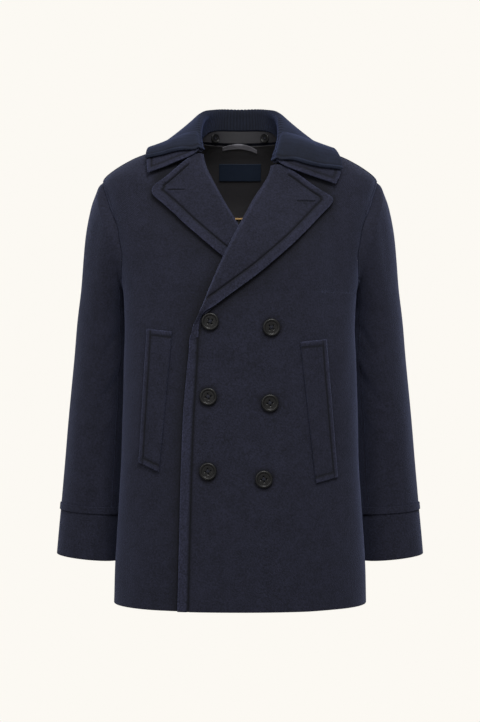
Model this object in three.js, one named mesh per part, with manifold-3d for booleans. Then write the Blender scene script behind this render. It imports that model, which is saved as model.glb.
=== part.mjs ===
// A double-breasted pea coat, filled out and empty, in millimetres.
// +Z is up, the front faces -Y, and +X is the wearer's left side.
// The origin is the middle of the neck, level with the highest point of the shoulder seams.
import * as THREE from 'three';
import Module from 'manifold-3d';
import { mergeVertices } from 'three/addons/utils/BufferGeometryUtils.js';

const wasm = await Module();
wasm.setup();

// Cloth and seams
const CLOTH = 3;                 // heavy wool with its backing
const SEAM_GAP = 0.4;            // between two pieces sewn edge to edge
const LAPEL_THICKNESS = 4;       // two layers of wool
const LAPEL_HEM_THICKNESS = 0.4; // share of its thickness at its lower end
const LAPEL_HEM_RISE = 0.75;     // share of its height there
const LAPEL_HEM_ROWS = 3;        // rows over which it grows to the whole
const COLLAR_FOLD = 7;           // across the top of the folded wool collar
const COLLAR_ROUNDING = 4;
const KNIT = 2.2;
const KNIT_GAP = 0.9;
const KNIT_GAP_FRONT = 3.1;      // where the two collars bend over the shoulders
const KNIT_ROWS = [0, 1, 1.5, 2, 2.33, 2.67, 3];
const RIBS = 70;
const RIB_HEIGHT = 1;
const BAND_HEIGHT = 22;          // satin band at the back of the neck
const BAND = 0.8;
const BAND_RUN_OUT = 0.46;       // collar station where its height reaches nothing
const BAND_END = 0.43;           // and where it is cut off
const BAND_LEAST_HEIGHT = 1.5;
const BAND_COLUMNS = 14;
const LINING = 1.2;
const LINING_GAP = 1.5;
const TRIM_GAP = 0.8;            // under anything that lies on a panel
const BUTTON_GAP = 0.55;         // under the front buttons
const LONG_TRIM_GAP = 1.1;       // under long or stiff pieces, which follow a bend less closely
const STRAP = 1.2;
const STRAP_GAP = 1.5;           // the shoulder bends most under the strap
const WELT = 3;

// Buttons, with four holes each on a circle
const FRONT_BUTTON = { diameter: 28, thickness: 4.2, sides: 18, holeCircle: 3.6, holeRadius: 1.3 };
const NECK_BUTTON = { diameter: 16, thickness: 2.6, sides: 14, holeCircle: 2.2, holeRadius: 0.9 };

// The body's outline at each height: half width, where it is widest,
// and how far the front and the back stand from the neck's middle
const BODY = [
  { z: -767, halfWidth: 208.5, widestY: -20, front: 145, back: 138 },
  { z: -700, halfWidth: 206.5, widestY: -27, front: 146, back: 135 },
  { z: -600, halfWidth: 199.5, widestY: -34, front: 146, back: 130 },
  { z: -534, halfWidth: 195, widestY: -38, front: 145, back: 125 },
  { z: -456, halfWidth: 193, widestY: -42, front: 143, back: 119 },
  { z: -367, halfWidth: 192, widestY: -45, front: 140, back: 117 },
  { z: -304, halfWidth: 190, widestY: -45, front: 137, back: 121 },
  { z: -260, halfWidth: 191.5, widestY: -40, front: 134, back: 126 },
  { z: -200, halfWidth: 201.5, widestY: -30, front: 129, back: 129 },
  { z: -150, halfWidth: 213.5, widestY: -20, front: 118, back: 126 },
  { z: -100, halfWidth: 222, widestY: -8, front: 106, back: 117 },
  { z: -70, halfWidth: 227, widestY: 2, front: 97, back: 105 },
  { z: -53.4, halfWidth: 210.8, widestY: 4, front: 91, back: 97 },
  { z: -33.3, halfWidth: 176.7, widestY: 4, front: 81, back: 87 },
  { z: -23, halfWidth: 150, widestY: 4, front: 74, back: 81 },
  { z: -12, halfWidth: 120, widestY: 4, front: 62, back: 73 },
  { z: -5, halfWidth: 97, widestY: 4, front: 50, back: 68.5 },
  { z: 0, halfWidth: 78, widestY: 4, front: 40, back: 65 },
];
const FRONT_ROUNDNESS = 2.4;
const BACK_ROUNDNESS = 2.05;
const HEM_Z = -767;
const SIDE_SEAM_Y = 4;
const FRONT_CELLS = 9;
const BACK_CELLS = 16;

// Armholes, as ovals seen from the side
const ARMHOLE_Z = -165;
const ARMHOLE_HALF_HEIGHT = 95;
const ARMHOLE_HALF_DEPTH = 70;
const ARMHOLE_ROUNDNESS = 2.2;
const ARMHOLE_EASE = 0.5;        // the panels are cut this much wider than the sleeve's end
// At the front it is cut less deep above its middle and deeper below
const ARMHOLE_FRONT_TOP = { less: 0.33, over: 75 };
const ARMHOLE_FRONT_LOW = { more: 0.1, over: 40 };

// Where each front turns back or ends, measured towards its own side of the coat
const EDGE_LEFT = [
  { z: -767, x: -98.5 },
  { z: -462, x: -90.4 },
  { z: -352, x: -80.6 },
  { z: -333, x: -79 },
  { z: -320, x: -75.8 },
  { z: -299.5, x: -67.1 },
  { z: -269.5, x: -55.3 },
  { z: -213.4, x: -31.6 },
  { z: -149.5, x: 0 },
  { z: -110.6, x: 20.7 },
  { z: -76.7, x: 42.3 },
  { z: -53, x: 51.8 },
  { z: -33, x: 60 },
  { z: -12, x: 73 },
  { z: -5, x: 75 },
];
const EDGE_RIGHT = [
  { z: -767, x: -95 },
  { z: -462, x: -90 },
  { z: -320, x: -85 },
  { z: -240, x: -44 },
  { z: -182, x: -14 },
  { z: -136.9, x: 10.5 },
  { z: -103.4, x: 30.4 },
  { z: -69.5, x: 48 },
  { z: -52.5, x: 55.2 },
  { z: -35.3, x: 59.9 },
  { z: -12, x: 73 },
  { z: -5, x: 75 },
];
const ROLL_INSET = 6.5;          // the front's cut edge lies this far inside the lapel's roll
const BREAK_LEFT_Z = -345;
const BREAK_RIGHT_Z = -290;
const BREAK_LENGTH = 40;

// How far the left front stands off where it laps over the right one
const OVERLAP = [
  { z: -767, lift: 6.5 },
  { z: -600, lift: 5.5 },
  { z: -400, lift: 5.5 },
  { z: -255, lift: 11.4 },
  { z: -165, lift: 11.4 },
  { z: -80, lift: 0 },
  { z: 0, lift: 0 },
];
const OVERLAP_FULL_X = 100;
const OVERLAP_END_X = 160;

// Lapels, from the bottom up: the roll, the outer edge, and how far the row bows upward
const LAPEL_LEFT = [
  { rollX: -77.8, rollZ: -328, edgeX: -69.5, edgeZ: -321, bow: 0 },
  { rollX: -75, rollZ: -315, edgeX: -67, edgeZ: -306, bow: 0 },
  { rollX: -68, rollZ: -299.5, edgeX: -58, edgeZ: -290, bow: 0 },
  { rollX: -59, rollZ: -279, edgeX: -38, edgeZ: -280, bow: 0 },
  { rollX: -47.4, rollZ: -249.7, edgeX: 0, edgeZ: -252.5, bow: 0 },
  { rollX: -35, rollZ: -221, edgeX: 31.6, edgeZ: -229, bow: 0 },
  { rollX: -21, rollZ: -191, edgeX: 58, edgeZ: -206.6, bow: 0 },
  { rollX: -7, rollZ: -163, edgeX: 84, edgeZ: -183.5, bow: 0 },
  { rollX: 8, rollZ: -135, edgeX: 109, edgeZ: -158.3, bow: 0 },
  { rollX: 22, rollZ: -108.5, edgeX: 132, edgeZ: -133.5, bow: 0 },
  { rollX: 36, rollZ: -87, edgeX: 146.5, edgeZ: -118, bow: 1 },
  { rollX: 46, rollZ: -69, edgeX: 150.5, edgeZ: -108, bow: 2.5 },
  { rollX: 50.3, rollZ: -53, edgeX: 144, edgeZ: -101, bow: 10 },
];
const LAPEL_RIGHT = [
  { rollX: -41, rollZ: -234, edgeX: -21, edgeZ: -236, bow: 0 },
  { rollX: -30, rollZ: -213, edgeX: 4, edgeZ: -221, bow: 0 },
  { rollX: -14, rollZ: -182, edgeX: 28.8, edgeZ: -201.5, bow: 0 },
  { rollX: 1.6, rollZ: -152.7, edgeX: 48.5, edgeZ: -185, bow: 0 },
  { rollX: 13, rollZ: -133, edgeX: 68, edgeZ: -168, bow: 0 },
  { rollX: 24, rollZ: -114.5, edgeX: 87, edgeZ: -151.3, bow: 0 },
  { rollX: 33.5, rollZ: -97, edgeX: 106, edgeZ: -132.7, bow: 0 },
  { rollX: 42.5, rollZ: -80, edgeX: 126, edgeZ: -114.6, bow: 1 },
  { rollX: 51.5, rollZ: -62, edgeX: 140.5, edgeZ: -101.5, bow: 3 },
  { rollX: 57, rollZ: -46, edgeX: 142.6, edgeZ: -93.5, bow: 4 },
  { rollX: 59.3, rollZ: -33, edgeX: 137.5, edgeZ: -83.5, bow: 9 },
];
// Columns of a lapel: how far across it, and the height of its face over the front
const LAPEL_COLUMNS = [
  { across: 0, rise: -2.6 },
  { across: 0, rise: 2.6 },
  { across: 0.07, rise: 7.4 },
  { across: 0.3, rise: 6.8 },
  { across: 0.55, rise: 5.8 },
  { across: 0.8, rise: 5.8 },
  { across: 1, rise: 6.6 },
];

// The collar at stations from the middle of the back to the front: its seam round the neck,
// its fold and its outer edge, and how far the fall bows up between them
const COLLAR_BACK = [
  { at: 0, seamX: 0, seamY: 62, seamZ: 0.8, foldX: 0, foldY: 60, foldZ: 56.5,
    edgeX: 0, edgeY: 92, edgeZ: -28, bow: 2 },
  { at: 0.16, seamX: 33, seamY: 55.5, seamZ: 0.8, foldX: 29, foldY: 56, foldZ: 56.3,
    edgeX: 60, edgeY: 85, edgeZ: -29, bow: 2 },
  { at: 0.32, seamX: 57, seamY: 41, seamZ: 0.8, foldX: 48.5, foldY: 42, foldZ: 52,
    edgeX: 107, edgeY: 64, edgeZ: -28, bow: 1 },
  { at: 0.48, seamX: 70.5, seamY: 21, seamZ: 0.8, foldX: 59, foldY: 19, foldZ: 42.5,
    edgeX: 132, edgeY: 28, edgeZ: -21, bow: 0 },
  { at: 0.62, seamX: 74, seamY: -6, seamZ: 0.5, foldX: 63.5, foldY: -8, foldZ: 29.5,
    edgeX: 139, edgeY: -4, edgeZ: -20, bow: 0 },
];
const COLLAR_END_RIGHT = [
  { at: 0.76, seamX: 72, seamY: -33, seamZ: -3, foldX: 65.5, foldY: -37, foldZ: 11,
    edgeX: 144, edgeY: -36, edgeZ: -30, bow: 0 },
  { at: 0.88, seamX: 68, seamY: -55, seamZ: -12, foldX: 64.5, foldY: -63, foldZ: -10,
    edgeX: 149, edgeY: -66, edgeZ: -51, bow: -2 },
  { at: 1, seamX: 60, seamY: -62, seamZ: -24, foldX: 60, foldY: -82, foldZ: -29,
    edgeX: 149, edgeY: -84, edgeZ: -66, bow: -8 },
  { at: 1.06, seamX: 57, seamY: -68, seamZ: -32, foldX: 58.5, foldY: -89, foldZ: -38,
    edgeX: 145, edgeY: -92, edgeZ: -74, bow: -9 },
];
const COLLAR_END_LEFT = [
  { at: 0.76, seamX: 72, seamY: -33, seamZ: -4, foldX: 64.5, foldY: -40, foldZ: 7,
    edgeX: 152, edgeY: -43, edgeZ: -39, bow: 0 },
  { at: 0.88, seamX: 66, seamY: -58, seamZ: -16, foldX: 60.5, foldY: -70, foldZ: -20,
    edgeX: 161, edgeY: -70, edgeZ: -63, bow: -2 },
  { at: 1, seamX: 53, seamY: -70, seamZ: -42, foldX: 52.5, foldY: -90, foldZ: -48,
    edgeX: 154, edgeY: -88, edgeZ: -84, bow: -7 },
  { at: 1.06, seamX: 50, seamY: -76, seamZ: -50, foldX: 50.5, foldY: -96, foldZ: -56,
    edgeX: 149, edgeY: -94, edgeZ: -91, bow: -8 },
];
// Where the knitted collar stops short of the wool one, across the fall
const KNIT_END = [
  { fall: 0, left: 0.995, right: 0.995 },
  { fall: 0.2, left: 0.96, right: 0.955 },
  { fall: 0.45, left: 0.95, right: 0.925 },
  { fall: 0.7, left: 0.93, right: 0.9 },
  { fall: 1, left: 0.89, right: 0.865 },
];
const COLLAR_REST = 4.4;         // least height of the wool collar's face over the shoulders
const COLLAR_REST_FRONT = 11;    // over the lapels
const COLLAR_REST_CORNER = 8.2;  // and past them, towards its corners
const COLLAR_CORNER_FALL = { from: 0.35, over: 0.35 };
const COLLAR_FREE_Z = 20;        // above this the fall hangs clear of the shoulders
const COLLAR_REST_ALONG = { from: 1.6, over: 0.5 };
const COLLAR_FRONT_AT = { from: 0.7, over: 0.15 };
const KNIT_BEND_AT = { from: 0.25, over: 0.2 };
const KNIT_BEND_ALONG = { from: 0.7, over: 0.6 };
const COLLAR_ROWS = [0, 0.5, 1, 1.5, 2, 2.33, 2.67, 3];
const COLLAR_COLUMNS = 56;

// Sleeve rings from the armhole to the cuff's edge: the outermost and innermost points
// seen from the front, how far back the middle lies, and half the depth
const SLEEVE = [
  { ring: 0, outerX: 227, outerZ: -70, innerX: 193, innerZ: -260, middleY: 4, halfDepth: 70 },
  { ring: 1, outerX: 240, outerZ: -88, innerX: 190.5, innerZ: -263.5, middleY: 8, halfDepth: 72 },
  { ring: 2, outerX: 249, outerZ: -112, innerX: 189.5, innerZ: -267.5, middleY: 13, halfDepth: 74 },
  { ring: 3, outerX: 257, outerZ: -150, innerX: 188.5, innerZ: -273, middleY: 18, halfDepth: 75 },
  { ring: 4, outerX: 262, outerZ: -198, innerX: 187.5, innerZ: -280, middleY: 24, halfDepth: 76 },
  { ring: 5, outerX: 267, outerZ: -250, innerX: 187, innerZ: -290, middleY: 31, halfDepth: 76 },
  { ring: 6, outerX: 274.5, outerZ: -304, innerX: 184, innerZ: -304, middleY: 36, halfDepth: 75 },
  { ring: 7, outerX: 280.2, outerZ: -367, innerX: 184.5, innerZ: -358, middleY: 39, halfDepth: 73 },
  { ring: 8, outerX: 289, outerZ: -456, innerX: 190, innerZ: -450, middleY: 41, halfDepth: 69 },
  { ring: 9, outerX: 295.7, outerZ: -534, innerX: 193.5, innerZ: -532, middleY: 39, halfDepth: 64 },
  { ring: 10, outerX: 302.3, outerZ: -612, innerX: 198, innerZ: -620, middleY: 35, halfDepth: 59 },
  { ring: 11, outerX: 309, outerZ: -693, innerX: 203, innerZ: -704, middleY: 31, halfDepth: 54 },
];
const SLEEVE_LENGTH_STEPS = [0, 0.5, 1, 2, 3, 4, 5, 6, 7, 8, 9, 9.997];
const CUFF_LENGTH_STEPS = [10.003, 10.5, 11];
const CUFF_STRIP_STEPS = [9.93, 10.07];
const CUFF_STRIP = 1.1;
const ARMHOLE_SEAM_GAP = 1.6;
const SLEEVE_SEAM_GAP = 0.8;
const SLEEVE_SEAM_ANGLE = 105;   // front and back seams, round from the sleeve's outermost line
const TOP_SLEEVE_CELLS = 10;
const UNDER_SLEEVE_CELLS = 6;

// Pocket welts: corners seen from the front, towards each front's own side
const WELTS = {
  left: { topIn: [95.9, -338.4], topOut: [138.9, -333.8], lowIn: [121.5, -563.6], lowOut: [157.3, -554.5] },
  right: { topIn: [108.9, -321.5], topOut: [150.2, -317], lowIn: [130, -545.9], lowOut: [163, -531.2] },
};

// Front buttons, all on the left front
const FRONT_BUTTONS = [
  { name: 'button_1_outer', x: -47.2, z: -306.4 },
  { name: 'button_1_inner', x: 49.6, z: -315.7 },
  { name: 'button_2_outer', x: -50.1, z: -425.3 },
  { name: 'button_2_inner', x: 47.3, z: -435.6 },
  { name: 'button_3_outer', x: -50.6, z: -543.5 },
  { name: 'button_3_inner', x: 37.6, z: -555.9 },
];

// Straps stitched along the armholes over the shoulders
const SHOULDER_STRAP_WIDTH = 9.5;  // seen from the side
const SHOULDER_STRAP_END = 72;     // degrees from the top, on the seam
const SHOULDER_STRAP_SLANT = 6;
const SHOULDER_STRAP_SETBACK = 0.6;
const SHOULDER_STRAP_CELLS = 22;

// Inside the back of the neck
const LINING_BOTTOM_Z = -200;
const LINING_HALF_WIDTH = 150;
const LINING_SHARE = 0.84;         // of the body's half width, where that is narrower
const LINING_LEVELS = [-2.5, -14, -30, -50, -75, -105, -140, LINING_BOTTOM_Z];
const LINING_COLUMNS = 14;
const PIPING_Z = -122;
const PIPING_HEIGHT = 3;
const PIPING = 1.6;
const PIPING_HALF_WIDTH = 146;
const PIPING_COLUMNS = 20;
const LABEL = { width: 72, height: 28, z: -45, thickness: 0.8, rows: 2, columns: 6 };
const HANGER_LOOP = [
  { x: -30, z: -8 },
  { x: -18, z: -5 },
  { x: 0, z: -3.5 },
  { x: 16, z: -6.5 },
  { x: 29, z: -12 },
];
const HANGER_LOOP_WIDTH = 8;
const HANGER_LOOP_SLACK = 0.9;
const NECK_BUTTON_AT = 0.23;
const NECK_BUTTON_HEIGHT = 8.5;    // up the stand

const WOOL = { color: 0x2a2c38, roughness: 0.95, metalness: 0 };
const KNIT_WOOL = { color: 0x2b3144, roughness: 0.95, metalness: 0 };
const SATIN = { color: 0x3a393e, roughness: 0.6, metalness: 0 };
const LINING_CLOTH = { color: 0x1f1e20, roughness: 0.7, metalness: 0 };
const PIPING_CORD = { color: 0xc9a26a, roughness: 0.6, metalness: 0 };
const LABEL_CLOTH = { color: 0x17202f, roughness: 0.8, metalness: 0 };
const HORN = { color: 0x24252a, roughness: 0.4, metalness: 0 };

const coat = new THREE.Group();

function add(name, geometry, finish) {
  const mesh = new THREE.Mesh(geometry, new THREE.MeshStandardMaterial(finish));
  mesh.name = name;
  coat.add(mesh);
  return mesh;
}

// One column of a table at a place between its rows, on a smooth curve through them
function smooth(rows, key, at, column) {
  const last = rows.length - 1;
  if (at <= rows[0][key]) return rows[0][column];
  if (at >= rows[last][key]) return rows[last][column];
  let i = 0;
  while (rows[i + 1][key] < at) i += 1;
  const slope = (j) => {
    const before = Math.max(j - 1, 0);
    const after = Math.min(j + 1, last);
    return (rows[after][column] - rows[before][column]) / (rows[after][key] - rows[before][key]);
  };
  const span = rows[i + 1][key] - rows[i][key];
  const t = (at - rows[i][key]) / span;
  const rest = 1 - t;
  const start = rows[i][column] * (1 + 2 * t) * rest * rest + slope(i) * span * t * rest * rest;
  const end = rows[i + 1][column] * t * t * (3 - 2 * t) - slope(i + 1) * span * t * t * rest;
  return start + end;
}

function ease(t) {
  const c = Math.min(Math.max(t, 0), 1);
  return c * c * (3 - 2 * c);
}

function steps(from, to, cells) {
  return Array.from({ length: cells + 1 }, (_, i) => from + ((to - from) * i) / cells);
}

// The closed curve round the body at one height
function section(z) {
  const halfWidth = smooth(BODY, 'z', z, 'halfWidth');
  const widestY = smooth(BODY, 'z', z, 'widestY');
  return {
    halfWidth,
    widestY,
    frontDepth: smooth(BODY, 'z', z, 'front') + widestY,
    backDepth: smooth(BODY, 'z', z, 'back') - widestY,
  };
}

// 1 on the body's surface, more outside it
function reach(x, y, z) {
  const s = section(z);
  const behind = y > s.widestY;
  const power = behind ? BACK_ROUNDNESS : FRONT_ROUNDNESS;
  const depth = behind ? s.backDepth : s.frontDepth;
  const across = (Math.abs(x) / s.halfWidth) ** power;
  const along = (Math.abs(y - s.widestY) / depth) ** power;
  return (across + along) ** (1 / power);
}

function gradient(p) {
  const step = 0.5;
  return new THREE.Vector3(
    reach(p.x + step, p.y, p.z) - reach(p.x - step, p.y, p.z),
    reach(p.x, p.y + step, p.z) - reach(p.x, p.y - step, p.z),
    reach(p.x, p.y, p.z + step) - reach(p.x, p.y, p.z - step),
  ).divideScalar(2 * step);
}

function outward(p) {
  return gradient(p).normalize();
}

function heightOver(p) {
  return (reach(p.x, p.y, p.z) - 1) / gradient(p).length();
}

function moved(p, direction, distance) {
  return p.clone().addScaledVector(direction, distance);
}

// The point seen at x, z from the front (facing -1) or the back (facing 1), at a height over the body
function facePoint(facing, x, z, height) {
  const s = section(z);
  const power = facing > 0 ? BACK_ROUNDNESS : FRONT_ROUNDNESS;
  const depth = facing > 0 ? s.backDepth : s.frontDepth;
  const across = Math.min(Math.abs(x) / s.halfWidth, 0.999);
  const y = s.widestY + facing * depth * (1 - across ** power) ** (1 / power);
  const p = new THREE.Vector3(x, y, z);
  for (let i = 0; i < 4; i += 1) {
    const miss = height - heightOver(p);
    p.y += (facing * miss) / Math.max(Math.abs(outward(p).y), 0.3);
  }
  return p;
}

// The body's surface at a place seen from the wearer's left
function sidePoint(y, z) {
  const s = section(z);
  const behind = y > s.widestY;
  const power = behind ? BACK_ROUNDNESS : FRONT_ROUNDNESS;
  const depth = behind ? s.backDepth : s.frontDepth;
  const along = Math.min(Math.abs(y - s.widestY) / depth, 1);
  return new THREE.Vector3(s.halfWidth * (1 - along ** power) ** (1 / power), y, z);
}

function angleOf(p) {
  return Math.atan2(p.y - section(p.z).widestY, p.x);
}

function pointAtAngle(z, angle) {
  const s = section(z);
  const behind = Math.sin(angle) > 0;
  const power = behind ? BACK_ROUNDNESS : FRONT_ROUNDNESS;
  const depth = behind ? s.backDepth : s.frontDepth;
  const across = (Math.abs(Math.cos(angle)) / s.halfWidth) ** power;
  const along = (Math.abs(Math.sin(angle)) / depth) ** power;
  const radius = (across + along) ** (-1 / power);
  return new THREE.Vector3(radius * Math.cos(angle), s.widestY + radius * Math.sin(angle), z);
}

// Evenly spaced points round the body at one height, between two angles
function bodyRow(z, from, to, cells) {
  const fine = steps(from, to, 80).map((angle) => pointAtAngle(z, angle));
  const lengths = [0];
  for (let i = 1; i < fine.length; i += 1) {
    lengths.push(lengths[i - 1] + fine[i].distanceTo(fine[i - 1]));
  }
  const total = lengths[lengths.length - 1];
  return steps(0, total, cells).map((length) => {
    let i = 0;
    while (i < fine.length - 2 && lengths[i + 1] < length) i += 1;
    const t = (length - lengths[i]) / (lengths[i + 1] - lengths[i]);
    return pointAtAngle(z, from + ((to - from) * (i + t)) / (fine.length - 1));
  });
}

// Share of the oval's depth that the armhole has at the front (below 0) or the back
function armholeShare(facing, z) {
  if (facing > 0) return 1;
  const top = ARMHOLE_FRONT_TOP.less * ease((z - ARMHOLE_Z) / ARMHOLE_FRONT_TOP.over);
  const low = ARMHOLE_FRONT_LOW.more * ease((ARMHOLE_Z - z) / ARMHOLE_FRONT_LOW.over);
  return 1 - top + low;
}

// Half the armhole's depth at a height, nothing above and below it
function armholeReach(facing, z) {
  const up = Math.abs(z - ARMHOLE_Z) / (ARMHOLE_HALF_HEIGHT + ARMHOLE_EASE);
  if (up >= 1) return 0;
  const share = (1 - up ** ARMHOLE_ROUNDNESS) ** (1 / ARMHOLE_ROUNDNESS);
  return (ARMHOLE_HALF_DEPTH + ARMHOLE_EASE) * share * armholeShare(facing, z);
}

const SHOULDER_LEVELS = [-5, -12, -23, -36, -52];
const ARMHOLE_LEVELS = steps(0, Math.PI, 8).map(
  (angle) => ARMHOLE_Z + (ARMHOLE_HALF_HEIGHT + ARMHOLE_EASE) * Math.cos(angle),
);
const SKIRT_LEVELS = [-300, -345, -400, -460, -530, -600, -670, -725, HEM_Z];
const FRONT_LEVELS = [...SHOULDER_LEVELS, ...ARMHOLE_LEVELS, ...SKIRT_LEVELS];
const BACK_LEVELS = [0, ...FRONT_LEVELS];

function mirrored(p) {
  return new THREE.Vector3(-p.x, p.y, p.z);
}

function mirroredGrid(grid) {
  return grid.map((row) => row.map(mirrored));
}

// A closed wall: a grid of points on its face, thickened against their normals
function wall(points, normals, thickness, wrap = false) {
  const rows = points.length;
  const columns = points[0].length;
  const thicknessAt = typeof thickness === 'function' ? thickness : () => thickness;
  const positions = [];
  points.forEach((row) => row.forEach((p) => positions.push(p.x, p.y, p.z)));
  points.forEach((row, i) => row.forEach((p, j) => {
    const under = moved(p, normals[i][j], -thicknessAt(i, j));
    positions.push(under.x, under.y, under.z);
  }));
  const lastRow = rows - 1;
  const lastColumn = columns - 1;
  const outer = (i, j) => i * columns + (j % columns);
  const inner = (i, j) => rows * columns + outer(i, j);
  let turn = 0;
  for (let i = 0; i + 1 < rows; i += 1) {
    for (let j = 0; j + 1 < columns; j += 1) {
      const across = points[i][j + 1].clone().sub(points[i][j]);
      const down = points[i + 1][j].clone().sub(points[i][j]);
      turn += across.cross(down).dot(normals[i][j]);
    }
  }
  const indices = [];
  const quad = (a, b, c, d) => {
    if (turn > 0) indices.push(a, b, c, a, c, d);
    else indices.push(a, c, b, a, d, c);
  };
  const cells = wrap ? columns : lastColumn;
  for (let i = 0; i + 1 < rows; i += 1) {
    for (let j = 0; j < cells; j += 1) {
      quad(outer(i, j), outer(i, j + 1), outer(i + 1, j + 1), outer(i + 1, j));
      quad(inner(i, j), inner(i + 1, j), inner(i + 1, j + 1), inner(i, j + 1));
    }
  }
  for (let j = 0; j < cells; j += 1) {
    quad(outer(0, j + 1), outer(0, j), inner(0, j), inner(0, j + 1));
    quad(outer(lastRow, j), outer(lastRow, j + 1), inner(lastRow, j + 1), inner(lastRow, j));
  }
  if (!wrap) {
    for (let i = 0; i + 1 < rows; i += 1) {
      quad(outer(i, 0), outer(i + 1, 0), inner(i + 1, 0), inner(i, 0));
      quad(outer(i + 1, lastColumn), outer(i, lastColumn), inner(i, lastColumn), inner(i + 1, lastColumn));
    }
  }
  const geometry = new THREE.BufferGeometry();
  geometry.setAttribute('position', new THREE.Float32BufferAttribute(positions, 3));
  geometry.setIndex(indices);
  geometry.computeVertexNormals();
  return geometry;
}

// Normals of a grid from its own points
function gridNormals(points) {
  const lastRow = points.length - 1;
  const lastColumn = points[0].length - 1;
  return points.map((row, i) => row.map((p, j) => {
    const across = row[Math.min(j + 1, lastColumn)].clone().sub(row[Math.max(j - 1, 0)]);
    const down = points[Math.min(i + 1, lastRow)][j].clone().sub(points[Math.max(i - 1, 0)][j]);
    return across.cross(down).normalize();
  }));
}

// Normals of a surface given as a function of two values
function surfaceNormal(surface, u, v, stepU, stepV) {
  const alongU = surface(u + stepU, v).sub(surface(u - stepU, v));
  const alongV = surface(u, v + stepV).sub(surface(u, v - stepV));
  return alongU.cross(alongV).normalize();
}

// The fronts: the left one stands off where it laps over the right one
function overlapLift(side, x, z) {
  if (side < 0) return 0;
  const share = ease((OVERLAP_END_X - x) / (OVERLAP_END_X - OVERLAP_FULL_X));
  return share * smooth(OVERLAP, 'z', z, 'lift');
}

// A place on a front's face, x measured towards its own side, at a height over the face
function onFront(side, x, z, height) {
  return facePoint(-1, x, z, height + overlapLift(side, x, z));
}

function frontEdgeX(side, z) {
  const breakZ = side > 0 ? BREAK_LEFT_Z : BREAK_RIGHT_Z;
  const inset = ROLL_INSET * ease((z - breakZ) / BREAK_LENGTH);
  return smooth(side > 0 ? EDGE_LEFT : EDGE_RIGHT, 'z', z, 'x') + inset;
}

function addFront(side, name) {
  const points = FRONT_LEVELS.map((z) => {
    const seamSide = sidePoint(SIDE_SEAM_Y - SEAM_GAP / 2 - armholeReach(-1, z), z);
    const openSide = facePoint(-1, frontEdgeX(side, z), z, 0);
    return bodyRow(z, angleOf(seamSide), angleOf(openSide), FRONT_CELLS).map((p) => (
      moved(p, outward(p), overlapLift(side, p.x, z))
    ));
  });
  const normals = points.map((row) => row.map(outward));
  const place = side > 0 ? (grid) => grid : mirroredGrid;
  return add(name, wall(place(points), place(normals), CLOTH), WOOL);
}

function addBack() {
  const points = BACK_LEVELS.map((z) => {
    const seamSide = sidePoint(SIDE_SEAM_Y + SEAM_GAP / 2 + armholeReach(1, z), z);
    const angle = angleOf(seamSide);
    return bodyRow(z, angle, Math.PI - angle, BACK_CELLS);
  });
  add('back', wall(points, points.map((row) => row.map(outward)), CLOTH), WOOL);
}

// A lapel: from the roll's inner side round to its outer edge, flatter and thinner at its lower end
function addLapel(side, rows, name) {
  const grown = (share, i) => share + (1 - share) * ease(i / LAPEL_HEM_ROWS);
  const points = rows.map((row, i) => {
    const flat = grown(LAPEL_HEM_RISE, i);
    return LAPEL_COLUMNS.map(({ across, rise }) => {
      const x = row.rollX + (row.edgeX - row.rollX) * across;
      const bow = 4 * row.bow * across * (1 - across);
      const z = row.rollZ + (row.edgeZ - row.rollZ) * across + bow;
      return onFront(side, x, z, rise > 0 ? rise * flat : rise);
    });
  });
  const normals = gridNormals(points);
  const thin = (i) => LAPEL_THICKNESS * grown(LAPEL_HEM_THICKNESS, i);
  const place = side > 0 ? (grid) => grid : mirroredGrid;
  add(name, wall(place(points), place(normals), thin), WOOL);
}

// Collar: stations all round, signed from the wearer's right (-) to the left (+)
function collarStations() {
  const toRight = (row) => ({
    ...row, at: -row.at, seamX: -row.seamX, foldX: -row.foldX, edgeX: -row.edgeX,
  });
  const right = [...COLLAR_BACK.slice(1), ...COLLAR_END_RIGHT].map(toRight).reverse();
  return [...right, ...COLLAR_BACK, ...COLLAR_END_LEFT];
}
const COLLAR = collarStations();

function collarCorner(at, part) {
  return new THREE.Vector3(
    smooth(COLLAR, 'at', at, `${part}X`),
    smooth(COLLAR, 'at', at, `${part}Y`),
    smooth(COLLAR, 'at', at, `${part}Z`),
  );
}

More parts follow.
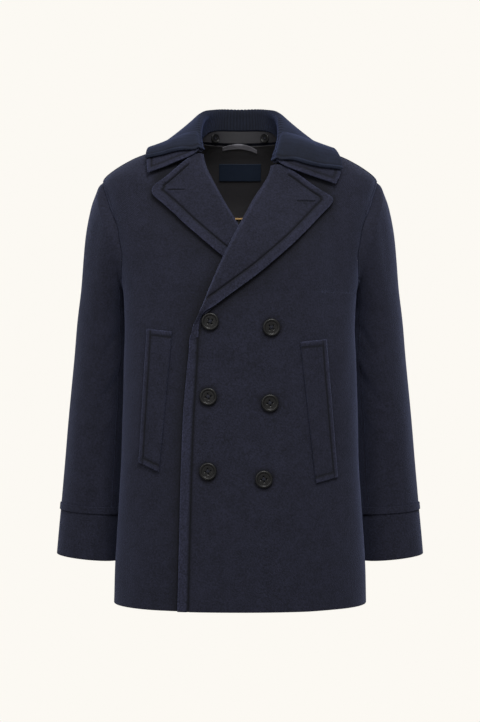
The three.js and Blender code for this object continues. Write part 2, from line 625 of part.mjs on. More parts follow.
// The wool collar's face: along is 0 at the neck seam, 1 and 2 at the fold's two corners, 3 at the edge
function collarPoint(at, along) {
  const seam = collarCorner(at, 'seam');
  const foldIn = collarCorner(at, 'fold');
  const edge = collarCorner(at, 'edge');
  const away = edge.clone().sub(foldIn).setZ(0).normalize();
  const foldOut = moved(foldIn, away, COLLAR_FOLD);
  const corners = [seam, foldIn, foldOut, edge];
  const lengths = [0, 1, 2].map((k) => corners[k + 1].distanceTo(corners[k]));
  const starts = [0, lengths[0], lengths[0] + lengths[1]];
  const k = Math.min(Math.max(Math.floor(along), 0), 2);
  const distance = starts[k] + (along - k) * lengths[k];
  const onCorners = (length) => {
    const piece = length < starts[1] ? 0 : (length < starts[2] ? 1 : 2);
    const t = (length - starts[piece]) / lengths[piece];
    return corners[piece].clone().lerp(corners[piece + 1], t);
  };
  const samples = steps(-COLLAR_ROUNDING, COLLAR_ROUNDING, 8);
  const p = new THREE.Vector3();
  samples.forEach((offset) => p.addScaledVector(onCorners(distance + offset), 1 / samples.length));
  const fall = Math.max(along - 2, 0);
  p.z += smooth(COLLAR, 'at', at, 'bow') * Math.sin(Math.PI * Math.sqrt(Math.min(fall, 1)));
  const laid = (along - COLLAR_REST_ALONG.from) / COLLAR_REST_ALONG.over;
  if (laid > 0) {
    const front = ease((Math.abs(at) - COLLAR_FRONT_AT.from) / COLLAR_FRONT_AT.over);
    const corner = ease((along - 2 - COLLAR_CORNER_FALL.from) / COLLAR_CORNER_FALL.over);
    const frontRest = COLLAR_REST_FRONT + (COLLAR_REST_CORNER - COLLAR_REST_FRONT) * corner;
    const rest = COLLAR_REST + (frontRest - COLLAR_REST) * front;
    const sunk = rest - heightOver(p);
    const low = ease((COLLAR_FREE_Z - p.z) / COLLAR_FREE_Z);
    if (sunk > 0) p.addScaledVector(outward(p), sunk * ease(laid) * low);
  }
  return p;
}

function collarNormal(at, along) {
  return surfaceNormal(collarPoint, at, along, 0.004, 0.02);
}

function standHeight(at) {
  return collarCorner(at, 'seam').distanceTo(collarCorner(at, 'fold'));
}

// How far up the stand the satin band reaches; it runs out towards the sides of the neck
function bandTop(at) {
  const height = BAND_HEIGHT * Math.max(1 - (Math.abs(at) / BAND_RUN_OUT) ** 4, 0);
  return Math.max(height, BAND_LEAST_HEIGHT) / standHeight(at);
}

function knitGap(at, along) {
  const round = ease((Math.abs(at) - KNIT_BEND_AT.from) / KNIT_BEND_AT.over);
  const over = ease((along - KNIT_BEND_ALONG.from) / KNIT_BEND_ALONG.over);
  return KNIT_GAP + (KNIT_GAP_FRONT - KNIT_GAP) * round * over;
}

function knitEnd(side, fall) {
  return smooth(KNIT_END, 'fall', fall, side > 0 ? 'left' : 'right');
}

function addCollars() {
  const columns = steps(-1, 1, COLLAR_COLUMNS);
  const woolPoints = COLLAR_ROWS.map((along) => columns.map((at) => collarPoint(at, along)));
  const woolNormals = COLLAR_ROWS.map((along) => columns.map((at) => collarNormal(at, along)));
  add('collar_wool', wall(woolPoints, woolNormals, CLOTH), WOOL);

  const knitColumns = steps(-1, 1, RIBS * 2);
  const knitPoints = [];
  const knitNormals = [];
  const knitThickness = [];
  KNIT_ROWS.forEach((row) => {
    const places = knitColumns.map((share) => {
      const at = share * knitEnd(share, Math.max(row - 2, 0));
      return { at, along: row === 0 ? bandTop(at) + 0.01 : row };
    });
    const rise = (j) => (j % 2 === 1 ? RIB_HEIGHT : 0);
    const normals = places.map(({ at, along }) => collarNormal(at, along));
    knitPoints.push(places.map(({ at, along }, j) => (
      moved(collarPoint(at, along), normals[j], knitGap(at, along) + KNIT + rise(j))
    )));
    knitNormals.push(normals);
    knitThickness.push(places.map((_, j) => KNIT + rise(j)));
  });
  add('collar_knit', wall(knitPoints, knitNormals, (i, j) => knitThickness[i][j]), KNIT_WOOL);

  const bandColumns = steps(-BAND_END, BAND_END, BAND_COLUMNS);
  const bandShares = [0.04, 0.97];
  const bandAlong = (at, share) => share * bandTop(at);
  const bandNormals = bandShares.map((share) => (
    bandColumns.map((at) => collarNormal(at, bandAlong(at, share)))
  ));
  const bandPoints = bandShares.map((share, i) => bandColumns.map((at, j) => (
    moved(collarPoint(at, bandAlong(at, share)), bandNormals[i][j], KNIT_GAP + BAND)
  )));
  add('neck_band', wall(bandPoints, bandNormals, BAND), SATIN);
}

// Pieces inside the back of the neck, lying one on the other
function insideBack(x, z, depth) {
  return facePoint(1, x, z, -depth);
}

function addInside(name, zs, xsAt, depth, thickness, finish) {
  const points = zs.map((z, i) => xsAt(z, i).map((x) => insideBack(x, z, depth)));
  const normals = points.map((row) => row.map(outward));
  add(name, wall(points, normals, thickness), finish);
}

function addNeckInside() {
  const liningDepth = CLOTH + LINING_GAP;
  const trimDepth = liningDepth + LINING + TRIM_GAP;
  const liningRow = (z) => {
    const half = Math.min(LINING_HALF_WIDTH, section(z).halfWidth * LINING_SHARE);
    return steps(-half, half, LINING_COLUMNS);
  };
  addInside('lining_back', LINING_LEVELS, liningRow, liningDepth, LINING, LINING_CLOTH);

  const pipingLevels = [PIPING_Z - PIPING_HEIGHT / 2, PIPING_Z + PIPING_HEIGHT / 2];
  const pipingRow = () => steps(-PIPING_HALF_WIDTH, PIPING_HALF_WIDTH, PIPING_COLUMNS);
  const pipingDepth = liningDepth + LINING + LONG_TRIM_GAP;
  addInside('lining_piping', pipingLevels, pipingRow, pipingDepth, PIPING, PIPING_CORD);

  const labelLevels = steps(LABEL.z - LABEL.height / 2, LABEL.z + LABEL.height / 2, LABEL.rows);
  const labelRow = () => steps(-LABEL.width / 2, LABEL.width / 2, LABEL.columns);
  addInside('label', labelLevels, labelRow, trimDepth, LABEL.thickness, LABEL_CLOTH);

  const loopPoints = [-0.5, 0.5].map((edge) => HANGER_LOOP.map(({ x, z }) => (
    insideBack(x, z + edge * HANGER_LOOP_WIDTH, trimDepth + HANGER_LOOP_SLACK)
  )));
  add('hanger_loop', wall(loopPoints, loopPoints.map((row) => row.map(outward)), STRAP), SATIN);
}

// Sleeves, worked out on the wearer's left and mirrored for the right
function ovalReach(cosine, power) {
  return (1 - Math.abs(cosine) ** power) ** (1 / power);
}

function sleeveRingPoint(angle, ring) {
  const value = (column) => smooth(SLEEVE, 'ring', ring, column);
  const cosine = Math.cos(angle);
  const power = 2 + (ARMHOLE_ROUNDNESS - 2) * Math.max(1 - ring, 0);
  const blend = (inner, outer) => (outer + inner) / 2 + ((outer - inner) / 2) * cosine;
  const x = blend(value('innerX'), value('outerX'));
  const z = blend(value('innerZ'), value('outerZ'));
  const y = value('middleY') + Math.sign(Math.sin(angle)) * value('halfDepth') * ovalReach(cosine, power);
  return new THREE.Vector3(x, y, z);
}

function armholePoint(angle) {
  const cosine = Math.cos(angle);
  const facing = Math.sign(Math.sin(angle));
  const z = ARMHOLE_Z + ARMHOLE_HALF_HEIGHT * cosine;
  const across = ARMHOLE_HALF_DEPTH * ovalReach(cosine, ARMHOLE_ROUNDNESS) * armholeShare(facing, z);
  const p = sidePoint(SIDE_SEAM_Y + facing * across, z);
  p.x += ARMHOLE_SEAM_GAP;
  return p;
}

function sleevePoint(angle, ring) {
  const p = sleeveRingPoint(angle, ring);
  const fade = Math.max(1 - ring, 0);
  if (fade > 0) {
    const fit = armholePoint(angle).sub(sleeveRingPoint(angle, 0));
    p.addScaledVector(fit, fade);
  }
  return p;
}

// At the armhole the wall's edge stands square to the oval, clear of the body's edge
function sleeveNormal(angle, ring) {
  if (ring === 0) {
    return new THREE.Vector3(
      0,
      Math.sin(angle) / ARMHOLE_HALF_DEPTH,
      Math.cos(angle) / ARMHOLE_HALF_HEIGHT,
    ).normalize();
  }
  return surfaceNormal(sleevePoint, angle, ring, 0.01, 0.02).negate();
}

function addSleevePiece(side, name, rings, angles, out, thickness, wrap) {
  const normals = rings.map((ring) => angles.map((angle) => sleeveNormal(angle, ring)));
  const points = rings.map((ring, i) => angles.map((angle, j) => (
    moved(sleevePoint(angle, ring), normals[i][j], out)
  )));
  const place = side > 0 ? (grid) => grid : mirroredGrid;
  add(name, wall(place(points), place(normals), thickness, wrap), WOOL);
}

function addSleeve(side, name) {
  const seam = THREE.MathUtils.degToRad(SLEEVE_SEAM_ANGLE);
  const half = SLEEVE_SEAM_GAP / 2 / ARMHOLE_HALF_DEPTH;
  const topAngles = steps(-seam + half, seam - half, TOP_SLEEVE_CELLS);
  const underAngles = steps(seam + half, 2 * Math.PI - seam - half, UNDER_SLEEVE_CELLS);
  const roundAngles = [
    ...steps(-seam, seam, TOP_SLEEVE_CELLS),
    ...steps(seam, 2 * Math.PI - seam, UNDER_SLEEVE_CELLS).slice(1, -1),
  ];
  addSleevePiece(side, `sleeve_top_${name}`, SLEEVE_LENGTH_STEPS, topAngles, 0, CLOTH, false);
  addSleevePiece(side, `sleeve_under_${name}`, SLEEVE_LENGTH_STEPS, underAngles, 0, CLOTH, false);
  addSleevePiece(side, `cuff_${name}`, CUFF_LENGTH_STEPS, roundAngles, 0, CLOTH, true);
  const strip = TRIM_GAP + CUFF_STRIP;
  addSleevePiece(side, `cuff_strip_${name}`, CUFF_STRIP_STEPS, roundAngles, strip, CUFF_STRIP, true);
}

// A strap along the armhole over the shoulder, with slanted ends
function addShoulderStrap(side, name) {
  const points = [0, 1].map((share) => {
    const end = THREE.MathUtils.degToRad(SHOULDER_STRAP_END - SHOULDER_STRAP_SLANT * share);
    const grow = SHOULDER_STRAP_SETBACK + SHOULDER_STRAP_WIDTH * share;
    return steps(-end, end, SHOULDER_STRAP_CELLS).map((angle) => {
      const cosine = Math.cos(angle);
      const z = ARMHOLE_Z + (ARMHOLE_HALF_HEIGHT + grow) * cosine;
      const across = ovalReach(cosine, ARMHOLE_ROUNDNESS) * armholeShare(angle, z);
      const y = SIDE_SEAM_Y + Math.sign(angle) * (ARMHOLE_HALF_DEPTH + grow) * across;
      const p = sidePoint(y, z);
      return moved(p, outward(p), STRAP_GAP + STRAP);
    });
  });
  const normals = points.map((row) => row.map(outward));
  const place = side > 0 ? (grid) => grid : mirroredGrid;
  add(`shoulder_strap_${name}`, wall(place(points), place(normals), STRAP), WOOL);
}

function addWelt(side, name) {
  const { topIn, topOut, lowIn, lowOut } = WELTS[name];
  const blend = (a, b, t) => a + (b - a) * t;
  const points = steps(0, 1, 5).map((down) => steps(0, 1, 2).map((across) => {
    const x = blend(blend(topIn[0], topOut[0], across), blend(lowIn[0], lowOut[0], across), down);
    const z = blend(blend(topIn[1], topOut[1], across), blend(lowIn[1], lowOut[1], across), down);
    return onFront(side, x, z, LONG_TRIM_GAP + WELT);
  }));
  const normals = points.map((row) => row.map(outward));
  const place = side > 0 ? (grid) => grid : mirroredGrid;
  add(`welt_${name}`, wall(place(points), place(normals), WELT), WOOL);
}

// Buttons: a dished disc with a rolled rim, turned about Y, its back at y = 0
function discProfile(radius, thickness) {
  return [
    [0, 0],
    [radius * 0.86, 0],
    [radius, thickness * 0.45],
    [radius * 0.96, thickness * 0.85],
    [radius * 0.86, thickness],
    [radius * 0.72, thickness * 0.86],
    [radius * 0.62, thickness * 0.62],
    [0, thickness * 0.58],
  ].map(([r, y]) => new THREE.Vector2(r, y));
}

function toSolid(geometry) {
  const bare = geometry.clone();
  bare.deleteAttribute('normal');
  bare.deleteAttribute('uv');
  const merged = mergeVertices(bare, 1e-4);
  return new wasm.Manifold(new wasm.Mesh({
    numProp: 3,
    vertProperties: new Float32Array(merged.attributes.position.array),
    triVerts: new Uint32Array(merged.index.array),
  }));
}

function toGeometry(solid) {
  const mesh = solid.getMesh();
  const geometry = new THREE.BufferGeometry();
  geometry.setAttribute('position', new THREE.BufferAttribute(mesh.vertProperties, 3));
  geometry.setIndex(new THREE.BufferAttribute(mesh.triVerts, 1));
  geometry.computeVertexNormals();
  return geometry;
}

function buttonGeometry({ diameter, thickness, sides, holeCircle, holeRadius }) {
  let solid = toSolid(new THREE.LatheGeometry(discProfile(diameter / 2, thickness), sides));
  for (let k = 0; k < 4; k += 1) {
    const angle = Math.PI / 4 + (k * Math.PI) / 2;
    const hole = new THREE.CylinderGeometry(holeRadius, holeRadius, thickness * 4, 6);
    hole.translate(holeCircle * Math.cos(angle), 0, holeCircle * Math.sin(angle));
    solid = solid.subtract(toSolid(hole));
  }
  return toGeometry(solid);
}

function seat(mesh, p, normal) {
  mesh.position.copy(p);
  mesh.quaternion.setFromUnitVectors(new THREE.Vector3(0, 1, 0), normal);
}

function addButtons() {
  const front = buttonGeometry(FRONT_BUTTON);
  FRONT_BUTTONS.forEach(({ name, x, z }) => {
    const p = onFront(1, x, z, BUTTON_GAP);
    const normal = surfaceNormal((u, v) => onFront(1, u, v, 0), x, z, 4, 4);
    seat(add(name, front.clone(), HORN), p, normal);
  });
  const small = buttonGeometry(NECK_BUTTON);
  ['right', 'left'].forEach((name) => {
    const at = name === 'left' ? NECK_BUTTON_AT : -NECK_BUTTON_AT;
    const along = NECK_BUTTON_HEIGHT / standHeight(at);
    const normal = collarNormal(at, along);
    const p = moved(collarPoint(at, along), normal, KNIT_GAP + BAND + LONG_TRIM_GAP);
    seat(add(`neck_button_${name}`, small.clone(), HORN), p, normal);
  });
}

addBack();
addFront(1, 'front_left');
addFront(-1, 'front_right');
addLapel(1, LAPEL_LEFT, 'lapel_left');
addLapel(-1, LAPEL_RIGHT, 'lapel_right');
addCollars();
addNeckInside();
addSleeve(1, 'left');
addSleeve(-1, 'right');
addShoulderStrap(1, 'left');
addShoulderStrap(-1, 'right');
addWelt(1, 'left');
addWelt(-1, 'right');
addButtons();

export default coat;
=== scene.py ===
import math

import bpy
import numpy as np
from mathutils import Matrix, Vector


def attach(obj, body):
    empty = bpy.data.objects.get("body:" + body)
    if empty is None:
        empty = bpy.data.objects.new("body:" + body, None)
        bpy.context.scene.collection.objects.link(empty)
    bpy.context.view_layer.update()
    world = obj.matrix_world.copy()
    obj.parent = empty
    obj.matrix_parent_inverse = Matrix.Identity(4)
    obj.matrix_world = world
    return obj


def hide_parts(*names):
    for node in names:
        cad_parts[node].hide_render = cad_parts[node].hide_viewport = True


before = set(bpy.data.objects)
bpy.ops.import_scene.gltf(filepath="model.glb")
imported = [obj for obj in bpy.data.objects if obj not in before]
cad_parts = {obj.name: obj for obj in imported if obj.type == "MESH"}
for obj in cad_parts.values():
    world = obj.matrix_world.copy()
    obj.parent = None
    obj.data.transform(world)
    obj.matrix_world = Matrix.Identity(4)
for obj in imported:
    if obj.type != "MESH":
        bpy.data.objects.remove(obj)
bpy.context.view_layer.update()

MM = 0.001

# Cloth and seams
CLOTH = 3
SEAM_GAP = 0.2
LAPEL_THICKNESS = 4
LAPEL_HEM_THICKNESS = 0.15
LAPEL_HEM_RISE = -0.1
LAPEL_HEM_UNDER = -0.3           # height of the roll's lower side at the lapel's end
LAPEL_HEM_ROWS = 3
COLLAR_FOLD = 7
COLLAR_ROUNDING = 4
KNIT = 2.2
KNIT_GAP = 0.9
KNIT_GAP_FRONT = 3.1
RIBS = 70
RIB_HEIGHT = 1
BAND_HEIGHT = 22
BAND = 0.8
BAND_RUN_OUT = 0.46
BAND_END = 0.43
BAND_LEAST_HEIGHT = 1.5
LINING = 1.2
LINING_GAP = 1.5
TRIM_GAP = 0.8
BUTTON_GAP = 0.55
LONG_TRIM_GAP = 1.1
STRAP = 0.9
STRAP_GAP = 0.3
SHOULDER_STRAP = 0.6
SHOULDER_STRAP_GAP = 0.15
WELT = 3


def ease(t):
    c = np.clip(t, 0, 1)
    return c * c * (3 - 2 * c)


def unit(v):
    return v / np.maximum(np.linalg.norm(v, axis=-1, keepdims=True), 1e-9)


def vectors(x, y, z):
    return np.stack(np.broadcast_arrays(x, y, z), axis=-1).astype(float)


class Table:
    """Rows of sizes, read between the rows on a smooth curve. The first column is the place."""

    def __init__(self, names, rows):
        values = np.array(rows, float)
        order = np.argsort(values[:, 0])
        self.place = values[order, 0]
        self.columns = {name: values[order, i] for i, name in enumerate(names.split())}

    def at(self, name, place):
        p = self.place
        v = self.columns[name]
        last = len(p) - 1
        place = np.clip(place, p[0], p[-1])
        i = np.clip(np.searchsorted(p, place, side="left") - 1, 0, last - 1)
        before = np.maximum(np.arange(last + 1) - 1, 0)
        after = np.minimum(np.arange(last + 1) + 1, last)
        slope = (v[after] - v[before]) / (p[after] - p[before])
        span = p[i + 1] - p[i]
        t = (place - p[i]) / span
        rest = 1 - t
        start = v[i] * (1 + 2 * t) * rest * rest + slope[i] * span * t * rest * rest
        end = v[i + 1] * t * t * (3 - 2 * t) - slope[i + 1] * span * t * t * rest
        return start + end


# The body's outline at each height
BODY = Table("z half widest front back", [
    (-767, 208.5, -20, 145, 138),
    (-700, 206.5, -27, 146, 135),
    (-600, 199.5, -34, 146, 130),
    (-534, 195, -38, 145, 125),
    (-456, 193, -42, 143, 119),
    (-367, 192, -45, 140, 117),
    (-304, 190, -45, 137, 121),
    (-260, 191.5, -40, 134, 126),
    (-200, 201.5, -30, 129, 129),
    (-150, 213.5, -20, 118, 126),
    (-100, 222, -8, 106, 117),
    (-70, 227, 2, 97, 105),
    (-53.4, 210.8, 4, 91, 97),
    (-33.3, 176.7, 4, 81, 87),
    (-23, 150, 4, 74, 81),
    (-12, 120, 4, 62, 73),
    (-5, 97, 4, 50, 68.5),
    (0, 78, 4, 40, 65),
])
FRONT_ROUNDNESS = 2.4
BACK_ROUNDNESS = 2.05
HEM_Z = -767
SIDE_SEAM_Y = 4

ARMHOLE_Z = -165
ARMHOLE_HALF_HEIGHT = 95
ARMHOLE_HALF_DEPTH = 70
ARMHOLE_ROUNDNESS = 2.2
ARMHOLE_EASE = 0
# At the front it is cut less deep above its middle and deeper below
ARMHOLE_FRONT_TOP = (0.33, 75)
ARMHOLE_FRONT_LOW = (0.1, 40)

# Where each front turns back or ends, measured towards its own side of the coat
EDGE = {
    1: Table("z x", [
        (-767, -98.5), (-462, -90.4), (-352, -80.6), (-333, -79), (-320, -75.8), (-299.5, -67.1),
        (-269.5, -55.3), (-213.4, -31.6), (-149.5, 0), (-110.6, 20.7), (-76.7, 42.3), (-53, 51.8),
        (-33, 60), (-12, 73), (-5, 75),
    ]),
    -1: Table("z x", [
        (-767, -95), (-462, -90), (-320, -85), (-240, -44), (-182, -14), (-136.9, 10.5),
        (-103.4, 30.4), (-69.5, 48), (-52.5, 55.2), (-35.3, 59.9), (-12, 73), (-5, 75),
    ]),
}
ROLL_INSET = 6.5
BREAK_Z = {1: -334, -1: -290}
BREAK_LENGTH = 32

# How far the left front stands off where it laps over the right one
OVERLAP = Table("z lift", [
    (-767, 6.5), (-600, 5.5), (-400, 5.5), (-255, 11.4), (-165, 11.4), (-80, 0), (0, 0),
])
OVERLAP_FULL_X = 100
OVERLAP_END_X = 160

# Lapels, from the bottom up: the roll, the outer edge, and how far the row bows upward
LAPEL = {
    1: Table("row roll_x roll_z edge_x edge_z bow", [
        (0, -78.8, -336, -65.8, -331, 0),
        (1, -75.2, -316, -64, -306, 0),
        (2, -68, -299.5, -56.5, -292, 0),
        (3, -59, -279, -38, -280, 0),
        (4, -47.4, -249.7, 0, -252.5, 0),
        (5, -35, -221, 31.6, -229, 0),
        (6, -21, -191, 58, -206.6, 0),
        (7, -7, -163, 84, -183.5, 0),
        (8, 8, -135, 109, -158.3, 0),
        (9, 22, -108.5, 132, -133.5, 0),
        (10, 36, -87, 146.5, -118, 1),
        (11, 46, -69, 150.5, -108, 2.5),
        (12, 50.3, -53, 144, -101, 10),
    ]),
    -1: Table("row roll_x roll_z edge_x edge_z bow", [
        (0, -41, -234, -21, -236, 0),
        (1, -30, -213, 4, -221, 0),
        (2, -14, -182, 28.8, -201.5, 0),
        (3, 1.6, -152.7, 48.5, -185, 0),
        (4, 13, -133, 68, -168, 0),
        (5, 24, -114.5, 87, -151.3, 0),
        (6, 33.5, -97, 106, -132.7, 0),
        (7, 42.5, -80, 126, -114.6, 1),
        (8, 51.5, -62, 140.5, -101.5, 3),
        (9, 57, -46, 142.6, -93.5, 4),
        (10, 59.3, -33, 137.5, -83.5, 9),
    ]),
}
# A lapel's section: the share of its length, how far across it is, and its face's height
LAPEL_SECTION = Table("share across rise", [
    (0, 0, -2.6), (0.05, 0, 2.6), (0.13, 0.07, 7.4), (0.34, 0.3, 6.8), (0.57, 0.55, 5.8),
    (0.8, 0.8, 5.8), (1, 1, 6.6),
])

# The collar at stations from the middle of the back to the front
COLLAR_NAMES = "at seam_x seam_y seam_z fold_x fold_y fold_z edge_x edge_y edge_z bow"
COLLAR_BACK = [
    (0, 0, 62, 0.8, 0, 60, 56.5, 0, 92, -28, 2),
    (0.16, 33, 55.5, 0.8, 29, 56, 56.3, 60, 85, -29, 2),
    (0.32, 57, 41, 0.8, 48.5, 42, 52, 107, 64, -28, 1),
    (0.48, 70.5, 21, 0.8, 59, 19, 42.5, 132, 28, -21, 0),
    (0.62, 74, -6, 0.5, 63.5, -8, 29.5, 139, -4, -20, 0),
]
COLLAR_END_RIGHT = [
    (0.76, 72, -33, -3, 65.5, -37, 11, 144, -36, -30, 0),
    (0.88, 68, -55, -12, 64.5, -63, -10, 149, -66, -51, -2),
    (1, 60, -62, -24, 60, -82, -29, 149, -84, -66, -8),
    (1.06, 57, -68, -32, 58.5, -89, -38, 145, -92, -74, -9),
]
COLLAR_END_LEFT = [
    (0.76, 72, -33, -4, 64.5, -40, 7, 152, -43, -39, 0),
    (0.88, 66, -58, -16, 60.5, -70, -20, 161, -70, -63, -2),
    (1, 53, -70, -42, 52.5, -90, -48, 154, -88, -84, -7),
    (1.06, 50, -76, -50, 50.5, -96, -56, 149, -94, -91, -8),
]
TO_RIGHT = np.array([-1, -1, 1, 1, -1, 1, 1, -1, 1, 1, 1])
COLLAR = Table(COLLAR_NAMES, [
    *[np.array(row) * TO_RIGHT for row in COLLAR_BACK[1:] + COLLAR_END_RIGHT],
    *COLLAR_BACK,
    *COLLAR_END_LEFT,
])
KNIT_END = Table("fall left right", [
    (0, 0.995, 0.995), (0.2, 0.96, 0.955), (0.45, 0.95, 0.925), (0.7, 0.93, 0.9), (1, 0.89, 0.865),
])


def knit_end(side, fall):
    return np.where(side > 0, KNIT_END.at("left", fall), KNIT_END.at("right", fall))


COLLAR_REST = 4.4
COLLAR_REST_FRONT = 11
COLLAR_REST_CORNER = 8.2
COLLAR_FREE_Z = 20

# Sleeve rings from the armhole to the cuff's edge
SLEEVE = Table("ring outer_x outer_z inner_x inner_z middle_y half_depth", [
    (0, 227, -70, 193, -260, 4, 70),
    (0.45, 235, -77, 191.5, -262, 6, 71),
    (1, 240, -88, 190.5, -263.5, 8, 72),
    (2, 249, -112, 189.5, -267.5, 13, 74),
    (3, 257, -150, 188.5, -273, 18, 75),
    (4, 262, -198, 187.5, -280, 24, 76),
    (5, 267, -250, 187, -290, 31, 76),
    (6, 274.5, -304, 184, -304, 36, 75),
    (7, 280.2, -367, 184.5, -358, 39, 73),
    (8, 289, -456, 190, -450, 41, 69),
    (9, 295.7, -534, 193.5, -532, 39, 64),
    (10, 302.3, -612, 198, -620, 35, 59),
    (11, 309, -693, 203, -704, 31, 54),
])
ARMHOLE_SEAM_GAP = 0
SLEEVE_SEAM_GAP = 0.2
SLEEVE_FRONT_SEAM = math.radians(135)
SLEEVE_BACK_SEAM = math.radians(105)
CUFF_SEAM_RING = 10
CUFF_STRIP_RINGS = (9.93, 10.07)
CUFF_STRIP = 1.1

WELTS = {
    1: dict(top_in=(95.9, -338.4), top_out=(138.9, -333.8), low_in=(121.5, -563.6), low_out=(157.3, -554.5)),
    -1: dict(top_in=(108.9, -321.5), top_out=(150.2, -317), low_in=(130, -545.9), low_out=(163, -531.2)),
}
FRONT_BUTTONS = {
    "button_1_outer": (-47.2, -306.4),
    "button_1_inner": (49.6, -315.7),
    "button_2_outer": (-50.1, -425.3),
    "button_2_inner": (47.3, -435.6),
    "button_3_outer": (-50.6, -543.5),
    "button_3_inner": (37.6, -555.9),
}
SHOULDER_STRAP_WIDTH = 9.5
SHOULDER_STRAP_END = 72
SHOULDER_STRAP_SLANT = 6
SHOULDER_STRAP_SETBACK = 0.6

LINING_BOTTOM_Z = -200
LINING_HALF_WIDTH = 150
LINING_SHARE = 0.84
PIPING_Z = -122
PIPING_HEIGHT = 3
PIPING = 1.6
PIPING_HALF_WIDTH = 146
LABEL_WIDTH = 72
LABEL_HEIGHT = 28
LABEL_Z = -45
LABEL_THICKNESS = 0.8
HANGER_LOOP = Table("x z", [(-30, -8), (-18, -5), (0, -3.5), (16, -6.5), (29, -12)])
HANGER_LOOP_WIDTH = 8
HANGER_LOOP_SLACK = 0.9
NECK_BUTTON_AT = 0.23
NECK_BUTTON_HEIGHT = 8.5

# Topstitching, measured in from the edge
FRONT_BORDER = Table("z width", [(-767, 17.5), (-440, 17.5), (-390, 15.8), (-333, 13.6), (-320, 13.2)])
LAPEL_BORDER = 16.7
LAPEL_TOP_BORDER = 11
LAPEL_TOP_START = 0.31    # share of a lapel's section where its top edge begins
LAPEL_BOW_POWER = 2.5
WELT_BORDER = 8.5
WELT_END_BORDER = 9.5
BORDER_PUFF = 1.3
# Painted highlight, as shares of the colour: over a stitched border, over the fronts' borders, and along every edge
BAND_HIGHLIGHT = 0.3
FRONT_BAND_HIGHLIGHT = 0.6
EDGE_HIGHLIGHT = 0.9
GROOVE_DEPTH = 1.9
GROOVE_WIDTH = 1.5
BUTTONHOLE_LENGTH = 26

# Soft folds: a line from one place to another, half width, height (troughs are below zero), bow
FRONT_FOLDS = [
    (186, -262, 168, -470, 15, -2.6, 6),
    (165, -300, 176, -560, 20, 2.2, -5),
    (158, -150, 140, -300, 22, -1.8, 5),
    (120, -165, 112, -420, 17, 1.3, 4),
    (74, -610, 88, -790, 26, -2.0, 6),
    (150, -590, 166, -800, 24, 2.4, -6),
    (112, -600, 122, -800, 18, -1.7, 3),
    (10, -350, 2, -560, 34, -1.2, 8),
    (-8, -590, 4, -800, 30, 1.4, 4),
    (-178, -268, -172, -500, 16, -2.4, -6),
    (-160, -340, -178, -610, 21, 2.3, 6),
    (-142, -160, -124, -330, 24, -2.0, -6),
    (-108, -210, -104, -400, 18, 1.5, 4),
    (-136, -600, -146, -800, 25, 2.5, 5),
    (-178, -580, -188, -800, 17, -2.0, -4),
]
BACK_FOLDS = [
    (150, -235, 96, -300, 13, -2.8, 8),
    (158, -262, 120, -345, 11, -2.0, 6),
    (-152, -232, -92, -292, 14, -3.0, -8),
    (-160, -265, -126, -352, 10, -1.8, -6),
    (104, -150, 92, -430, 26, 2.4, 8),
    (-100, -160, -94, -450, 28, 2.2, -8),
    (20, -90, 6, -300, 30, -1.6, 5),
    (60, -400, 84, -790, 30, -3.4, 10),
    (-58, -420, -76, -790, 32, -3.0, -9),
    (0, -480, 6, -800, 34, 3.0, 6),
    (128, -470, 140, -800, 24, 3.0, 6),
    (-124, -490, -142, -800, 26, 2.8, -5),
    (172, -420, 178, -780, 18, -2.0, 4),
    (-172, -440, -180, -780, 17, -2.2, -4),
]
# On a sleeve: degrees round from its outermost line (the front is below zero) and height
SLEEVE_FOLDS = [
    (-60, -95, -72, -250, 16, -1.6, 4),
    (-25, -120, -38, -330, 22, 1.5, 5),
    (-150, -300, -96, -372, 8, -2.4, 6),
    (-158, -340, -104, -420, 7, 2.0, 6),
    (-160, -372, -92, -452, 8, -2.2, 7),
    (-150, -430, -98, -500, 9, 1.6, 5),
    (-90, -470, -110, -690, 18, -1.8, 6),
    (-45, -430, -58, -640, 20, 1.6, -5),
    (60, -120, 74, -260, 16, -1.8, 5),
    (100, -300, 150, -380, 8, -2.2, 5),
    (96, -350, 152, -440, 8, 2.0, 6),
    (92, -410, 146, -480, 9, -2.0, 5),
    (70, -450, 84, -660, 20, 1.8, 6),
    (30, -200, 40, -420, 24, -1.4, 5),
    (10, -480, 6, -680, 20, -1.5, 4),
]


def folds(table, x, z):
    total = np.zeros(np.broadcast(x, z).shape)
    for from_x, from_z, to_x, to_z, width, height, bow in table:
        dx = to_x - from_x
        dz = to_z - from_z
        length = math.hypot(dx, dz)
        along = ((x - from_x) * dx + (z - from_z) * dz) / length**2
        middle = 1 - (2 * along - 1) ** 2
        across = ((z - from_z) * dx - (x - from_x) * dz) / length - bow * middle
        fade = ease(along / 0.35) * ease((1 - along) / 0.35)
        total += height * fade * np.exp(-((across / width) ** 2))
    return total


# The body as a form, with its surface where reach is 1
def section(z):
    half = BODY.at("half", z)
    widest = BODY.at("widest", z)
    return half, widest, BODY.at("front", z) + widest, BODY.at("back", z) - widest


def reach(x, y, z):
    half, widest, front, back = section(z)
    behind = y > widest
    power = np.where(behind, BACK_ROUNDNESS, FRONT_ROUNDNESS)
    depth = np.where(behind, back, front)
    across = (np.abs(x) / half) ** power
    along = (np.abs(y - widest) / depth) ** power
    return (across + along) ** (1 / power)


def gradient(p):
    x, y, z = p[..., 0], p[..., 1], p[..., 2]
    step = 0.5
    return vectors(
        reach(x + step, y, z) - reach(x - step, y, z),
        reach(x, y + step, z) - reach(x, y - step, z),
        reach(x, y, z + step) - reach(x, y, z - step),
    ) / (2 * step)


def outward(p):
    return unit(gradient(p))


def height_over(p):
    steep = np.linalg.norm(gradient(p), axis=-1)
    return (reach(p[..., 0], p[..., 1], p[..., 2]) - 1) / steep


def moved(p, direction, distance):
    return p + direction * np.asarray(distance, float)[..., None]


